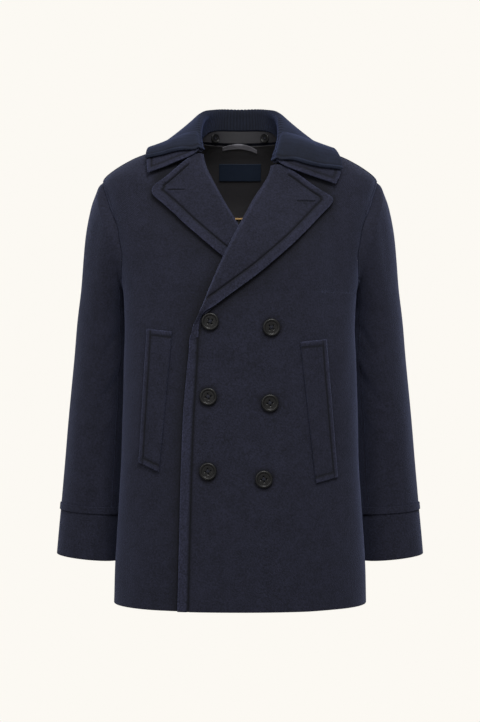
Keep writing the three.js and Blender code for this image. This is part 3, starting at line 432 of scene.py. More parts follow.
def face_point(facing, x, z, height):
    """The point seen at x, z from the front (facing -1) or the back (1), at a height over the body."""
    x, z, height = np.broadcast_arrays(np.asarray(x, float), z, height)
    half, widest, front, back = section(z)
    power = BACK_ROUNDNESS if facing > 0 else FRONT_ROUNDNESS
    depth = back if facing > 0 else front
    across = np.minimum(np.abs(x) / half, 0.999)
    p = vectors(x, widest + facing * depth * (1 - across**power) ** (1 / power), z)
    for _ in range(4):
        miss = height - height_over(p)
        p[..., 1] += facing * miss / np.maximum(np.abs(outward(p)[..., 1]), 0.3)
    return p


def side_point(y, z):
    half, widest, front, back = section(z)
    behind = y > widest
    power = np.where(behind, BACK_ROUNDNESS, FRONT_ROUNDNESS)
    depth = np.where(behind, back, front)
    along = np.minimum(np.abs(y - widest) / depth, 1)
    return vectors(half * (1 - along**power) ** (1 / power), y, z)


def angle_of(p):
    return np.arctan2(p[..., 1] - BODY.at("widest", p[..., 2]), p[..., 0])


def point_at_angle(z, angle):
    half, widest, front, back = section(z)
    behind = np.sin(angle) > 0
    power = np.where(behind, BACK_ROUNDNESS, FRONT_ROUNDNESS)
    depth = np.where(behind, back, front)
    across = (np.abs(np.cos(angle)) / half) ** power
    along = (np.abs(np.sin(angle)) / depth) ** power
    radius = (across + along) ** (-1 / power)
    return vectors(radius * np.cos(angle), widest + radius * np.sin(angle), z)


def lengths_along(points):
    """Distance from the first point of each row."""
    legs = np.linalg.norm(np.diff(points, axis=-2), axis=-1)
    start = np.zeros(legs.shape[:-1] + (1,))
    return np.concatenate([start, np.cumsum(legs, axis=-1)], axis=-1)


def body_rows(z, start, end, whole_start, places):
    """Points round the body at each height. places turns a row's length, and the length that it would have
    without the armhole, into distances from its start."""
    share = np.linspace(0, 1, 241)
    whole = lengths_along(point_at_angle(z[:, None], whole_start[:, None] + (end - whole_start)[:, None] * share))
    whole = whole[:, -1]
    angles = start[:, None] + (end - start)[:, None] * share
    lengths = lengths_along(point_at_angle(z[:, None], angles))
    rows = []
    distances = []
    for row, length in enumerate(lengths):
        wanted = places(length[-1], whole[row])
        distances.append(wanted)
        rows.append(np.interp(wanted, length, angles[row]))
    return point_at_angle(z[:, None], np.array(rows)), np.array(distances)


def armhole_share(facing, z):
    """Share of the oval's depth that the armhole has at the front (below 0) or the back."""
    top = ARMHOLE_FRONT_TOP[0] * ease((z - ARMHOLE_Z) / ARMHOLE_FRONT_TOP[1])
    low = ARMHOLE_FRONT_LOW[0] * ease((ARMHOLE_Z - z) / ARMHOLE_FRONT_LOW[1])
    return np.where(np.asarray(facing) > 0, 1, 1 - top + low)


def armhole_reach(facing, z):
    up = np.abs(z - ARMHOLE_Z) / (ARMHOLE_HALF_HEIGHT + ARMHOLE_EASE)
    share = np.maximum(1 - np.minimum(up, 1) ** ARMHOLE_ROUNDNESS, 0) ** (1 / ARMHOLE_ROUNDNESS)
    return (ARMHOLE_HALF_DEPTH + ARMHOLE_EASE) * share * armhole_share(facing, z)


def finer(levels, cells):
    places = np.arange(len(levels))
    return np.interp(np.linspace(0, len(levels) - 1, (len(levels) - 1) * cells + 1), places, levels)


ARMHOLE_TOP = ARMHOLE_Z + ARMHOLE_HALF_HEIGHT + ARMHOLE_EASE
ARMHOLE_BOTTOM = ARMHOLE_Z - ARMHOLE_HALF_HEIGHT - ARMHOLE_EASE
SHOULDER_LEVELS = finer([-5, -8, -12, -17, -23, -36, -52, ARMHOLE_TOP], 4)
ARMHOLE_LEVELS = ARMHOLE_Z + (ARMHOLE_HALF_HEIGHT + ARMHOLE_EASE) * np.cos(np.linspace(0, np.pi, 37))
SKIRT_LEVELS = np.linspace(ARMHOLE_BOTTOM, HEM_Z, 98)
FRONT_LEVELS = np.concatenate([SHOULDER_LEVELS[:-1], ARMHOLE_LEVELS, SKIRT_LEVELS[1:]])
BACK_LEVELS = np.concatenate([[0, -1.5, -3], FRONT_LEVELS])


# A closed piece of cloth: its face, its inner side and a rounded rim
def rim_outline(rows, columns, wrap):
    """Grid places round the piece, in one loop, or in two on a tube."""
    top = [(0, j) for j in range(columns)]
    bottom = [(rows - 1, j) for j in range(columns - 1, -1, -1)]
    if wrap:
        return [top, bottom]
    right = [(i, columns - 1) for i in range(1, rows - 1)]
    left = [(i, 0) for i in range(rows - 2, 0, -1)]
    return [top + right + bottom + left]


def edge_directions(points, normals, wrap):
    """At each border point, the way out of the piece within its own surface."""
    out = np.zeros_like(points)
    out[0] += unit(points[0] - points[1])
    out[-1] += unit(points[-1] - points[-2])
    if not wrap:
        out[:, 0] += unit(points[:, 0] - points[:, 1])
        out[:, -1] += unit(points[:, -1] - points[:, -2])
    out -= normals * np.sum(out * normals, axis=-1, keepdims=True)
    return unit(out)


def thin_border(points, normals, extra, wrap, bulge):
    """Drops a row or column that lies closer to the border than the rim needs."""
    def near(a, b):
        return np.linalg.norm(a - b, axis=-1).mean() < 1.7 * bulge

    for axis in (0,) if wrap else (0, 1):
        for border, following in ((0, 1), (-1, -2)):
            a = np.take(points, border, axis)
            b = np.take(points, following, axis)
            if near(a, b) and points.shape[axis] > 4:
                drop = 1 if border == 0 else points.shape[axis] - 2
                points = np.delete(points, drop, axis)
                normals = np.delete(normals, drop, axis)
                extra = [np.delete(e, drop, axis) for e in extra]
    return points, normals, extra


RIM_ANGLES = np.radians([50, 18, -18, -50])


def cloth(name, points, normals, thickness, finish, side=1, inner=None, wrap=False, bulge=1.2, weave=None,
          painted_shading=0.0):
    """A cloth object from a grid of face points. inner is a finish, or (finish, cells that keep the face's).
    Its last argument is painted shade where above 0, darkening the colour in stitch grooves, under lapels, beside
    lapped edges and round buttons, and painted highlight where below 0, lightening it along edges and raised borders."""
    thickness = np.broadcast_to(np.asarray(thickness, float), points.shape[:2])
    painted_shading = np.broadcast_to(np.asarray(painted_shading, float), points.shape[:2])
    if weave is None:
        across = lengths_along(points) * MM
        down = np.swapaxes(lengths_along(np.swapaxes(points, 0, 1)), 0, 1) * MM
        weave = np.stack([across, down], axis=-1)
    points, normals, extra = thin_border(points, normals, [thickness, weave, painted_shading], wrap, bulge)
    thickness, weave, painted_shading = extra
    if side < 0:
        points = points * [-1, 1, 1]
        normals = normals * [-1, 1, 1]
    rows, columns = points.shape[:2]
    out = edge_directions(points, normals, wrap)
    points = points - out * bulge
    under = moved(points, normals, -thickness)
    across = np.diff(points[:-1], axis=1)
    down = np.diff(points[:, :-1], axis=0)
    turn = np.sum(np.cross(across, down) * normals[:-1, :-1])

    corners = [points.reshape(-1, 3), under.reshape(-1, 3)]
    coordinates = [weave.reshape(-1, 2), weave.reshape(-1, 2)]
    shade = [painted_shading.reshape(-1), np.zeros(painted_shading.size)]
    i, j = np.meshgrid(np.arange(rows - 1), np.arange(columns if wrap else columns - 1), indexing="ij")
    right = (j + 1) % columns
    a, b = i * columns + j, i * columns + right
    c, d = (i + 1) * columns + right, (i + 1) * columns + j
    size = rows * columns
    face = np.stack([a, b, c, d], axis=-1).reshape(-1, 4)
    back = np.stack([a, d, c, b], axis=-1).reshape(-1, 4) + size
    quads = [face, back]
    count = 2 * size
    for loop in rim_outline(rows, columns, wrap):
        at_i = np.array([place[0] for place in loop])
        at_j = np.array([place[1] for place in loop])
        half = thickness[at_i, at_j] / 2
        middle = moved(points[at_i, at_j], normals[at_i, at_j], -half)
        rings = [at_i * columns + at_j]
        for angle in RIM_ANGLES:
            ring = middle + out[at_i, at_j] * bulge * math.cos(angle)
            corners.append(moved(ring, normals[at_i, at_j], half * math.sin(angle)))
            coordinates.append(weave[at_i, at_j])
            shade.append(painted_shading[at_i, at_j])
            rings.append(np.arange(len(loop)) + count)
            count += len(loop)
        rings.append(at_i * columns + at_j + size)
        for upper, lower in zip(rings, rings[1:]):
            after = np.roll(upper, -1)
            below = np.roll(lower, -1)
            quads.append(np.stack([after, upper, lower, below], axis=-1))
    if turn < 0:
        quads = [q[:, ::-1] for q in quads]
    materials = [finish]
    index = np.zeros(sum(len(q) for q in quads), int)
    if inner is not None:
        inner_finish, kept = inner if isinstance(inner, tuple) else (inner, None)
        materials.append(inner_finish)
        lined = np.ones((rows - 1, columns if wrap else columns - 1), bool)
        if kept is not None:
            lined &= ~kept(points)[: lined.shape[0], : lined.shape[1]]
        index[len(face):len(face) * 2] = lined.reshape(-1)
    piece = solid(name, np.concatenate(corners), np.concatenate(quads), materials, index,
                  np.concatenate(coordinates))
    layer = piece.data.attributes.new("painted_shading", "FLOAT", "POINT")
    layer.data.foreach_set("value", np.concatenate(shade).astype(np.float32))
    return piece


def solid(name, corners, faces, materials, index=None, coordinates=None):
    """A mesh object from points in millimetres."""
    mesh = bpy.data.meshes.new(name)
    mesh.from_pydata((corners * MM).tolist(), [], faces.tolist())
    for material in materials:
        mesh.materials.append(material)
    if index is not None:
        mesh.polygons.foreach_set("material_index", index.astype(np.int32))
    if coordinates is not None:
        layer = mesh.uv_layers.new(name="weave")
        picked = np.empty(len(mesh.loops), np.int32)
        mesh.loops.foreach_get("vertex_index", picked)
        layer.data.foreach_set("uv", coordinates[picked].astype(np.float32).ravel())
    mesh.polygons.foreach_set("use_smooth", np.ones(len(mesh.polygons), bool))
    mesh.update()
    piece = bpy.data.objects.new(name, mesh)
    bpy.context.scene.collection.objects.link(piece)
    return piece


def finished(piece, node):
    """Places a piece on the coat's one body, in its node's stead."""
    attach(piece, "root")
    if node:
        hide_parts(*([node] if isinstance(node, str) else node))
    return piece


def surface_normal(surface, u, v, step_u, step_v):
    along_u = surface(u + step_u, v) - surface(u - step_u, v)
    along_v = surface(u, v + step_v) - surface(u, v - step_v)
    return unit(np.cross(along_u, along_v))


def grid_normals(points):
    across = np.gradient(points, axis=1)
    down = np.gradient(points, axis=0)
    return unit(np.cross(across, down))


def distance_to(points, line):
    """Distance of each point of a grid from a line given by close points."""
    flat = points.reshape(-1, 3)
    nearest = np.full(len(flat), 1e9)
    for start in range(0, len(line), 50):
        legs = flat[:, None, :] - line[None, start:start + 50, :]
        nearest = np.minimum(nearest, np.sqrt((legs**2).sum(axis=-1)).min(axis=1))
    return nearest.reshape(points.shape[:2])


def groove(distance, place, depth=GROOVE_DEPTH, width=GROOVE_WIDTH):
    return -depth * np.exp(-(((distance - place) / width) ** 2))


# Painted shade: darkening along a stitch groove
def painted_groove_shade(distance, place, width=2.6):
    return np.exp(-(((distance - place) / width) ** 2))


def painted_border_highlight(distance, place, nap=BAND_HIGHLIGHT):
    """Painted highlight: lighter over a border, and most of all along its very edge."""
    # The third argument is the share of painted highlight over the band; the very edge gets a larger painted highlight
    band = nap * (1 - ease((distance - place * 0.7) / (place * 0.3)))
    return -band - EDGE_HIGHLIGHT * np.exp(-((distance / 2.4) ** 2))


def puffed_border(distance, place, puff=BORDER_PUFF):
    inside = np.clip(distance / place, 0, 1)
    return puff * np.sqrt(np.sin(np.pi * np.clip(inside, 0, 1))) * (inside < 1)


# Materials
def node_group(name, inputs, outputs):
    tree = bpy.data.node_groups.new(name, "ShaderNodeTree")
    for label, kind, value in inputs:
        socket = tree.interface.new_socket(label, in_out="INPUT", socket_type=kind)
        socket.default_value = value
    for label, kind in outputs:
        tree.interface.new_socket(label, in_out="OUTPUT", socket_type=kind)
    return tree, tree.nodes.new("NodeGroupInput"), tree.nodes.new("NodeGroupOutput")


def math_node(tree, operation, *values):
    node = tree.nodes.new("ShaderNodeMath")
    node.operation = operation
    for socket, value in zip(node.inputs, values):
        if isinstance(value, (int, float)):
            socket.default_value = value
        else:
            tree.links.new(value, socket)
    return node.outputs[0]


def noise(tree, vector, scale, detail, roughness=0.6):
    node = tree.nodes.new("ShaderNodeTexNoise")
    node.inputs["Detail"].default_value = detail
    node.inputs["Roughness"].default_value = roughness
    tree.links.new(vector, node.inputs["Vector"])
    if isinstance(scale, (int, float)):
        node.inputs["Scale"].default_value = scale
    else:
        tree.links.new(scale, node.inputs["Scale"])
    return node.outputs["Fac"]


def blend_colour(tree, share, first, second):
    node = tree.nodes.new("ShaderNodeMix")
    node.data_type = "RGBA"
    node.clamp_factor = True
    tree.links.new(share, node.inputs["Factor"])
    for value, label in ((first, "A"), (second, "B")):
        socket = [s for s in node.inputs if s.name == label and s.type == "RGBA"][0]
        if isinstance(value, tuple):
            socket.default_value = value
        else:
            tree.links.new(value, socket)
    return [s for s in node.outputs if s.type == "RGBA"][0]


def nap_group():
    """Felted wool: short fibres, soft mottling and a faint twill under the nap."""
    tree, given, result = node_group(
        "felted nap",
        [("Dark", "NodeSocketColor", (0.01, 0.01, 0.02, 1)), ("Light", "NodeSocketColor", (0.03, 0.03, 0.04, 1)),
         ("Fibre scale", "NodeSocketFloat", 620), ("Mottle scale", "NodeSocketFloat", 45),
         ("Twill pitch", "NodeSocketFloat", 0.0024), ("Twill", "NodeSocketFloat", 0.3)],
        [("Color", "NodeSocketColor"), ("Roughness", "NodeSocketFloat"), ("Height", "NodeSocketFloat")],
    )
    place = tree.nodes.new("ShaderNodeTexCoord")
    fibres = noise(tree, place.outputs["Object"], given.outputs["Fibre scale"], 3, 0.7)
    mottle = noise(tree, place.outputs["Object"], given.outputs["Mottle scale"], 3)
    split = tree.nodes.new("ShaderNodeSeparateXYZ")
    tree.links.new(place.outputs["UV"], split.inputs[0])
    diagonal = math_node(tree, "ADD", split.outputs["X"], split.outputs["Y"])
    wavy = math_node(tree, "MULTIPLY_ADD", mottle, 0.0012, diagonal)
    phase = math_node(tree, "DIVIDE", wavy, given.outputs["Twill pitch"])
    twill = math_node(tree, "SINE", math_node(tree, "MULTIPLY", phase, 2 * math.pi))
    lines = math_node(tree, "MULTIPLY", twill, given.outputs["Twill"])
    height = math_node(tree, "MULTIPLY_ADD", lines, 0.12, fibres)
    share = math_node(tree, "MULTIPLY_ADD", mottle, 0.22, math_node(tree, "MULTIPLY", height, 0.78))
    spread = tree.nodes.new("ShaderNodeMapRange")
    spread.inputs["From Min"].default_value = 0.36
    spread.inputs["From Max"].default_value = 0.66
    tree.links.new(share, spread.inputs["Value"])
    # Painted shade and painted highlight: each cloth's point attribute scales the colour down where it is above 0 and
    # up where it is below 0
    painted_shading = tree.nodes.new("ShaderNodeAttribute")
    painted_shading.attribute_name = "painted_shading"
    kept = math_node(tree, "MULTIPLY_ADD", painted_shading.outputs["Fac"], -0.85, 1)
    colour = blend_colour(tree, spread.outputs[0], given.outputs["Dark"], given.outputs["Light"])
    shaded = tree.nodes.new("ShaderNodeVectorMath")
    shaded.operation = "SCALE"
    tree.links.new(colour, shaded.inputs[0])
    tree.links.new(kept, shaded.inputs["Scale"])
    tree.links.new(shaded.outputs[0], result.inputs["Color"])
    tree.links.new(math_node(tree, "MULTIPLY_ADD", fibres, 0.15, 0.82), result.inputs["Roughness"])
    tree.links.new(height, result.inputs["Height"])
    return tree


def thread_group():
    """Smooth woven threads: fine ribs across, with slubs."""
    tree, given, result = node_group(
        "woven threads",
        [("Dark", "NodeSocketColor", (0.01, 0.01, 0.01, 1)), ("Light", "NodeSocketColor", (0.03, 0.03, 0.03, 1)),
         ("Pitch", "NodeSocketFloat", 0.0008), ("Slant", "NodeSocketFloat", 0), ("Gloss", "NodeSocketFloat", 0.5)],
        [("Color", "NodeSocketColor"), ("Roughness", "NodeSocketFloat"), ("Height", "NodeSocketFloat")],
    )
    place = tree.nodes.new("ShaderNodeTexCoord")
    split = tree.nodes.new("ShaderNodeSeparateXYZ")
    tree.links.new(place.outputs["UV"], split.inputs[0])
    slubs = noise(tree, place.outputs["Object"], 260, 3)
    slanted = math_node(tree, "MULTIPLY_ADD", split.outputs["X"], given.outputs["Slant"], split.outputs["Y"])
    phase = math_node(tree, "DIVIDE", slanted, given.outputs["Pitch"])
    ribs = math_node(tree, "SINE", math_node(tree, "MULTIPLY", phase, 2 * math.pi))
    height = math_node(tree, "MULTIPLY_ADD", ribs, 0.5, 0.5)
    share = math_node(tree, "MULTIPLY_ADD", slubs, 0.5, math_node(tree, "MULTIPLY", height, 0.5))
    colour = blend_colour(tree, share, given.outputs["Dark"], given.outputs["Light"])
    tree.links.new(colour, result.inputs["Color"])
    tree.links.new(math_node(tree, "MULTIPLY_ADD", slubs, 0.2, given.outputs["Gloss"]), result.inputs["Roughness"])
    tree.links.new(height, result.inputs["Height"])
    return tree


def fabric(name, group, values, bump, sheen=0.0, sheen_tint=(1, 1, 1, 1), sheen_roughness=0.5, coat=0.0):
    """A cloth material around one of the node groups."""
    material = bpy.data.materials.new(name)
    material.use_nodes = True
    tree = material.node_tree
    shader = tree.nodes["Principled BSDF"]
    look = tree.nodes.new("ShaderNodeGroup")
    look.node_tree = group
    for label, value in values.items():
        look.inputs[label].default_value = value
    relief = tree.nodes.new("ShaderNodeBump")
    relief.inputs["Distance"].default_value = bump * MM
    relief.inputs["Strength"].default_value = 1
    tree.links.new(look.outputs["Height"], relief.inputs["Height"])
    tree.links.new(relief.outputs["Normal"], shader.inputs["Normal"])
    tree.links.new(look.outputs["Color"], shader.inputs["Base Color"])
    tree.links.new(look.outputs["Roughness"], shader.inputs["Roughness"])
    shader.inputs["Sheen Weight"].default_value = sheen
    shader.inputs["Sheen Roughness"].default_value = sheen_roughness
    shader.inputs["Sheen Tint"].default_value = sheen_tint
    shader.inputs["Coat Weight"].default_value = coat
    shader.inputs["Specular IOR Level"].default_value = 0.25
    return material


NAP = nap_group()
THREADS = thread_group()
WOOL_MATERIAL = fabric(
    "navy melton wool", NAP,
    {"Dark": (0.0035, 0.004, 0.009, 1), "Light": (0.0165, 0.0177, 0.035, 1), "Fibre scale": 380, "Twill": 0.5},
    bump=0.9, sheen=0.25, sheen_tint=(0.32, 0.38, 0.7, 1), sheen_roughness=0.45,
)
KNIT_MATERIAL = fabric(
    "navy rib knit", NAP,
    {"Dark": (0.002, 0.003, 0.007, 1), "Light": (0.009, 0.0125, 0.025, 1), "Fibre scale": 700, "Twill": 0.2},
    bump=0.4, sheen=0.25, sheen_tint=(0.28, 0.38, 0.9, 1), sheen_roughness=0.45,
)
SATIN_MATERIAL = fabric(
    "grey satin", THREADS,
    {"Dark": (0.006, 0.006, 0.008, 1), "Light": (0.026, 0.025, 0.030, 1), "Pitch": 0.0007, "Gloss": 0.45},
    bump=0.06, sheen=0.05,
)
LOOP_MATERIAL = fabric(
    "pale grey satin", THREADS,
    {"Dark": (0.08, 0.078, 0.092, 1), "Light": (0.17, 0.165, 0.19, 1), "Pitch": 0.0007, "Gloss": 0.4},
    bump=0.06, sheen=0.2,
)
LINING_MATERIAL = fabric(
    "charcoal twill lining", THREADS,
    {"Dark": (0.014, 0.0135, 0.0155, 1), "Light": (0.036, 0.034, 0.038, 1), "Pitch": 0.0009, "Slant": 1.0,
     "Gloss": 0.45},
    bump=0.06, sheen=0.1,
)
PIPING_MATERIAL = fabric(
    "gold piping", THREADS,
    {"Dark": (0.42, 0.24, 0.09, 1), "Light": (0.72, 0.47, 0.2, 1), "Pitch": 0.0011, "Slant": 0.8, "Gloss": 0.35},
    bump=0.15,
)
LABEL_MATERIAL = fabric(
    "navy woven label", THREADS,
    {"Dark": (0.006, 0.011, 0.024, 1), "Light": (0.014, 0.024, 0.046, 1), "Pitch": 0.0006, "Gloss": 0.5},
    bump=0.05,
)
STITCH_MATERIAL = fabric(
    "navy sewing thread", THREADS,
    {"Dark": (0.006, 0.007, 0.014, 1), "Light": (0.016, 0.018, 0.03, 1), "Pitch": 0.0005, "Gloss": 0.5},
    bump=0.05,
)
HORN_MATERIAL = fabric(
    "dark horn", THREADS,
    {"Dark": (0.003, 0.003, 0.0035, 1), "Light": (0.0075, 0.0075, 0.0085, 1), "Pitch": 0.004, "Slant": 0.3,
     "Gloss": 0.3},
    bump=0.02, coat=0.12,
)


# Back
def back_piece():
    z = BACK_LEVELS
    start = angle_of(side_point(SIDE_SEAM_Y + SEAM_GAP / 2 + armhole_reach(1, z), z))
    whole_start = angle_of(side_point(SIDE_SEAM_Y + SEAM_GAP / 2, z))
    share = np.linspace(-1, 1, 117)

    def places(length, reached):
        whole = 2 * reached - length
        return length / 2 + whole / 2 * share - (whole - length) / 2 * share**3

    points, _ = body_rows(z, start, np.pi - start, whole_start, places)
    normals = outward(points)
    points = moved(points, normals, back_relief(points[..., 0], points[..., 2]))
    normals = grid_normals(points)
    piece = cloth("back_cloth", points, normals, CLOTH, WOOL_MATERIAL, inner=LINING_MATERIAL)
    finished(piece, "back")


def back_relief(x, z):
    clear = ease((-z - 120) / 120)
    return folds(BACK_FOLDS, x, z) * clear


# Fronts
def front_relief(side, x, z):
    """Folds of the two fronts are one field, so that both lie together where they lap."""
    return folds(FRONT_FOLDS, x * side, z) * ease((-z - 110) / 60)


def overlap_lift(side, x, z):
    if side < 0:
        return np.zeros(np.broadcast(x, z).shape)
    share = ease((OVERLAP_END_X - x) / (OVERLAP_END_X - OVERLAP_FULL_X))
    return share * OVERLAP.at("lift", z)


def on_front(side, x, z, height):
    """A place on a front's face at a height over it, x measured towards its own side."""
    relief = front_relief(side, np.asarray(x, float), z)
    return face_point(-1, x, z, height + overlap_lift(side, x, z) + relief)


def front_inset(side, z):
    return ROLL_INSET * ease((z - BREAK_Z[side]) / BREAK_LENGTH)


def front_piece(side, name):
    z = FRONT_LEVELS
    start = angle_of(side_point(SIDE_SEAM_Y - SEAM_GAP / 2 - armhole_reach(-1, z), z))
    open_x = EDGE[side].at("x", z) + front_inset(side, z)
    end = angle_of(face_point(-1, open_x, z, 0))
    fine = np.arange(0, 23.2, 1.1)
    share = np.linspace(0, 1, 58)[1:]

    def places(length, whole):
        rest = fine[-1] + (whole - fine[-1]) * share - (whole - length) * share**3
        return length - np.concatenate([fine, rest])[::-1]

    whole_start = angle_of(side_point(SIDE_SEAM_Y - SEAM_GAP / 2, z))
    points, distances = body_rows(z, start, end, whole_start, places)
    from_edge = distances[:, -1:] - distances
    line = (FRONT_BORDER.at("width", z) - front_inset(side, z))[:, None]
    stitched = ease((-z - 300) / 14)[:, None]
    puffed = ease((-z - 337) / 24)[:, None]
    border = puffed_border(from_edge, line) * puffed + groove(from_edge, line)
    x = points[..., 0]
    height = overlap_lift(side, x, z[:, None]) + front_relief(side, x, z[:, None]) + border * stitched
    points = moved(points, outward(points), height)
    normals = oriented(grid_normals(points), outward(points))

    def facing(grid):
        return (np.abs(grid[..., 0] * side - EDGE[side].at("x", grid[..., 2])) < 95) | (grid[..., 2] < HEM_Z + 40)

    # Painted shade in the stitch groove and painted highlight over the border, then painted shadows under the lapels,
    # beside the lapped edge and round the buttons
    painted_shading = (painted_groove_shade(from_edge, line) + painted_border_highlight(from_edge, line, FRONT_BAND_HIGHLIGHT)) * stitched
    painted_shading += painted_front_shade(side, points) * (1 - painted_shading)
    piece = cloth(f"front_{name}_cloth", points, normals, CLOTH, WOOL_MATERIAL, side,
                  inner=(LINING_MATERIAL, facing), painted_shading=painted_shading)
    finished(piece, f"front_{name}")


def painted_front_shade(side, points):
    """Painted shade: shadows under the lapels and in the notch below the collar, beside the lapped edge and round the
    buttons.
    """
    x, z = points[..., 0], points[..., 2]
    rows = LAPEL[side].columns
    outer = rows["edge_x"].max()
    edge_z = np.interp(x, rows["edge_x"][:-2], rows["edge_z"][:-2])
    below = (edge_z - z) * 0.75
    within = ease((x - rows["edge_x"][0] + 12) / 12) * ease((outer + 14 - x) / 20)
    shade = 0.85 * np.exp(-np.maximum(below, 0) / 17) * within * (below > -12)
    top = [(rows["roll_x"][-1], rows["roll_z"][-1]), (rows["edge_x"][-1], rows["edge_z"][-1]),
           (rows["edge_x"][-2], rows["edge_z"][-2])]
    top_z = np.interp(x, [place[0] for place in top], [place[1] for place in top])
    notch = ease((z - top_z + 10) / 6) * ease((x - top[0][0]) / 20) * ease((outer + 10 - x) / 24)
    shade = np.maximum(shade, 0.85 * notch)
    if side > 0:
        for place_x, place_z in FRONT_BUTTONS.values():
            away = np.hypot(x - place_x, z - place_z)
            shade = np.maximum(shade, 0.7 * np.exp(-(((away - 14) / 4.5) ** 2)))
    else:
        beside = np.abs(x + EDGE[1].at("x", z))
        wide = 10 + 10 * np.exp(-(((z + 275) / 45) ** 2))
        shade = np.maximum(shade, 0.92 * np.exp(-beside / wide) * ease((-z - 150) / 60))
    return shade


def oriented(normals, guide):
    turn = np.sign(np.sum(normals * guide, axis=-1, keepdims=True))
    return normals * np.where(turn == 0, 1, turn)


# Lapels
def lapel_grid(side, rows, columns):
    table = LAPEL[side]
    last = table.place[-1]
    row = np.linspace(0, last, rows)[:, None]
    share = np.linspace(0, 1, columns)[None, :]
    across = LAPEL_SECTION.at("across", share)
    rise = LAPEL_SECTION.at("rise", share)
    flat = LAPEL_HEM_RISE + (1 - LAPEL_HEM_RISE) * ease(row / LAPEL_HEM_ROWS)
    x = table.at("roll_x", row) + (table.at("edge_x", row) - table.at("roll_x", row)) * across
    bow = table.at("bow", row) * across * (1 - across) ** LAPEL_BOW_POWER * 8.1
    z = table.at("roll_z", row) + (table.at("edge_z", row) - table.at("roll_z", row)) * across + bow
    under = LAPEL_HEM_UNDER + (rise - LAPEL_HEM_UNDER) * ease(row / 2)
    points = on_front(side, x, z, np.where(rise > 0, rise * flat, under))
    thin = LAPEL_HEM_THICKNESS + (1 - LAPEL_HEM_THICKNESS) * ease(row / LAPEL_HEM_ROWS)
    return points, LAPEL_THICKNESS * np.broadcast_to(thin, (rows, columns))


def lapel_piece(side, name, hole):
    points, thickness = lapel_grid(side, 230 if side > 0 else 180, 96)
    share = np.linspace(0, 1, points.shape[1])[None, :]
    open_top = ease((share - LAPEL_TOP_START) / 0.04)
    lower = distance_to(points, points[:, -1])
    top = distance_to(points, points[-1, 8:])
    crossing = 3
    lower_line = groove(lower, LAPEL_BORDER) * (top > LAPEL_TOP_BORDER - crossing)
    top_line = groove(top, LAPEL_TOP_BORDER) * (lower > LAPEL_BORDER - crossing) * open_top
    puff = np.maximum(puffed_border(lower, LAPEL_BORDER), puffed_border(top, LAPEL_TOP_BORDER) * open_top)
    slit = buttonhole_relief(points, side, hole)
    face = ease((share - 0.1) / 0.06)
    height = (np.minimum(lower_line, top_line) + puff + slit) * face
    normals = grid_normals(points)
    points = moved(points, normals, height)
    normals = grid_normals(points)
    # Painted shade in the lapel's stitch grooves
    lower_groove_shade = painted_groove_shade(lower, LAPEL_BORDER) * (top > LAPEL_TOP_BORDER - crossing)
    top_groove_shade = painted_groove_shade(top, LAPEL_TOP_BORDER) * (lower > LAPEL_BORDER - crossing) * open_top
    # Painted highlight over the borders and along the edges, and along the roll line
    raised = np.minimum(painted_border_highlight(lower, LAPEL_BORDER), painted_border_highlight(top, LAPEL_TOP_BORDER) * open_top)
    raised = np.minimum(raised, -EDGE_HIGHLIGHT * np.exp(-(((share - 0.09) / 0.02) ** 2)))
    painted_shading = np.maximum(lower_groove_shade, top_groove_shade) * face + raised
    # The buttonhole's slit is painted fully dark as shade
    painted_shading = np.where(slit < -0.4, 1, painted_shading)
    piece = cloth(f"lapel_{name}_cloth", points, normals, thickness, WOOL_MATERIAL, side, bulge=0.9,
                  painted_shading=painted_shading)
    finished(piece, f"lapel_{name}")


def buttonhole_relief(points, side, hole):
    """A stitched slit: a narrow trough between two raised lips."""
    inner_x, outer_x, z = hole
    x = points[..., 0]
    beside = np.abs(points[..., 2] - z)
    past = np.maximum(np.maximum(inner_x - x, x - outer_x), 0)
    away = np.hypot(beside, past)
    return -1.5 * np.exp(-((away / 0.9) ** 2)) + 0.7 * np.exp(-(((away - 2.3) / 1.1) ** 2))


# Collars
def collar_corner(at, part):
    return vectors(*[COLLAR.at(f"{part}_{axis}", at) for axis in "xyz"])


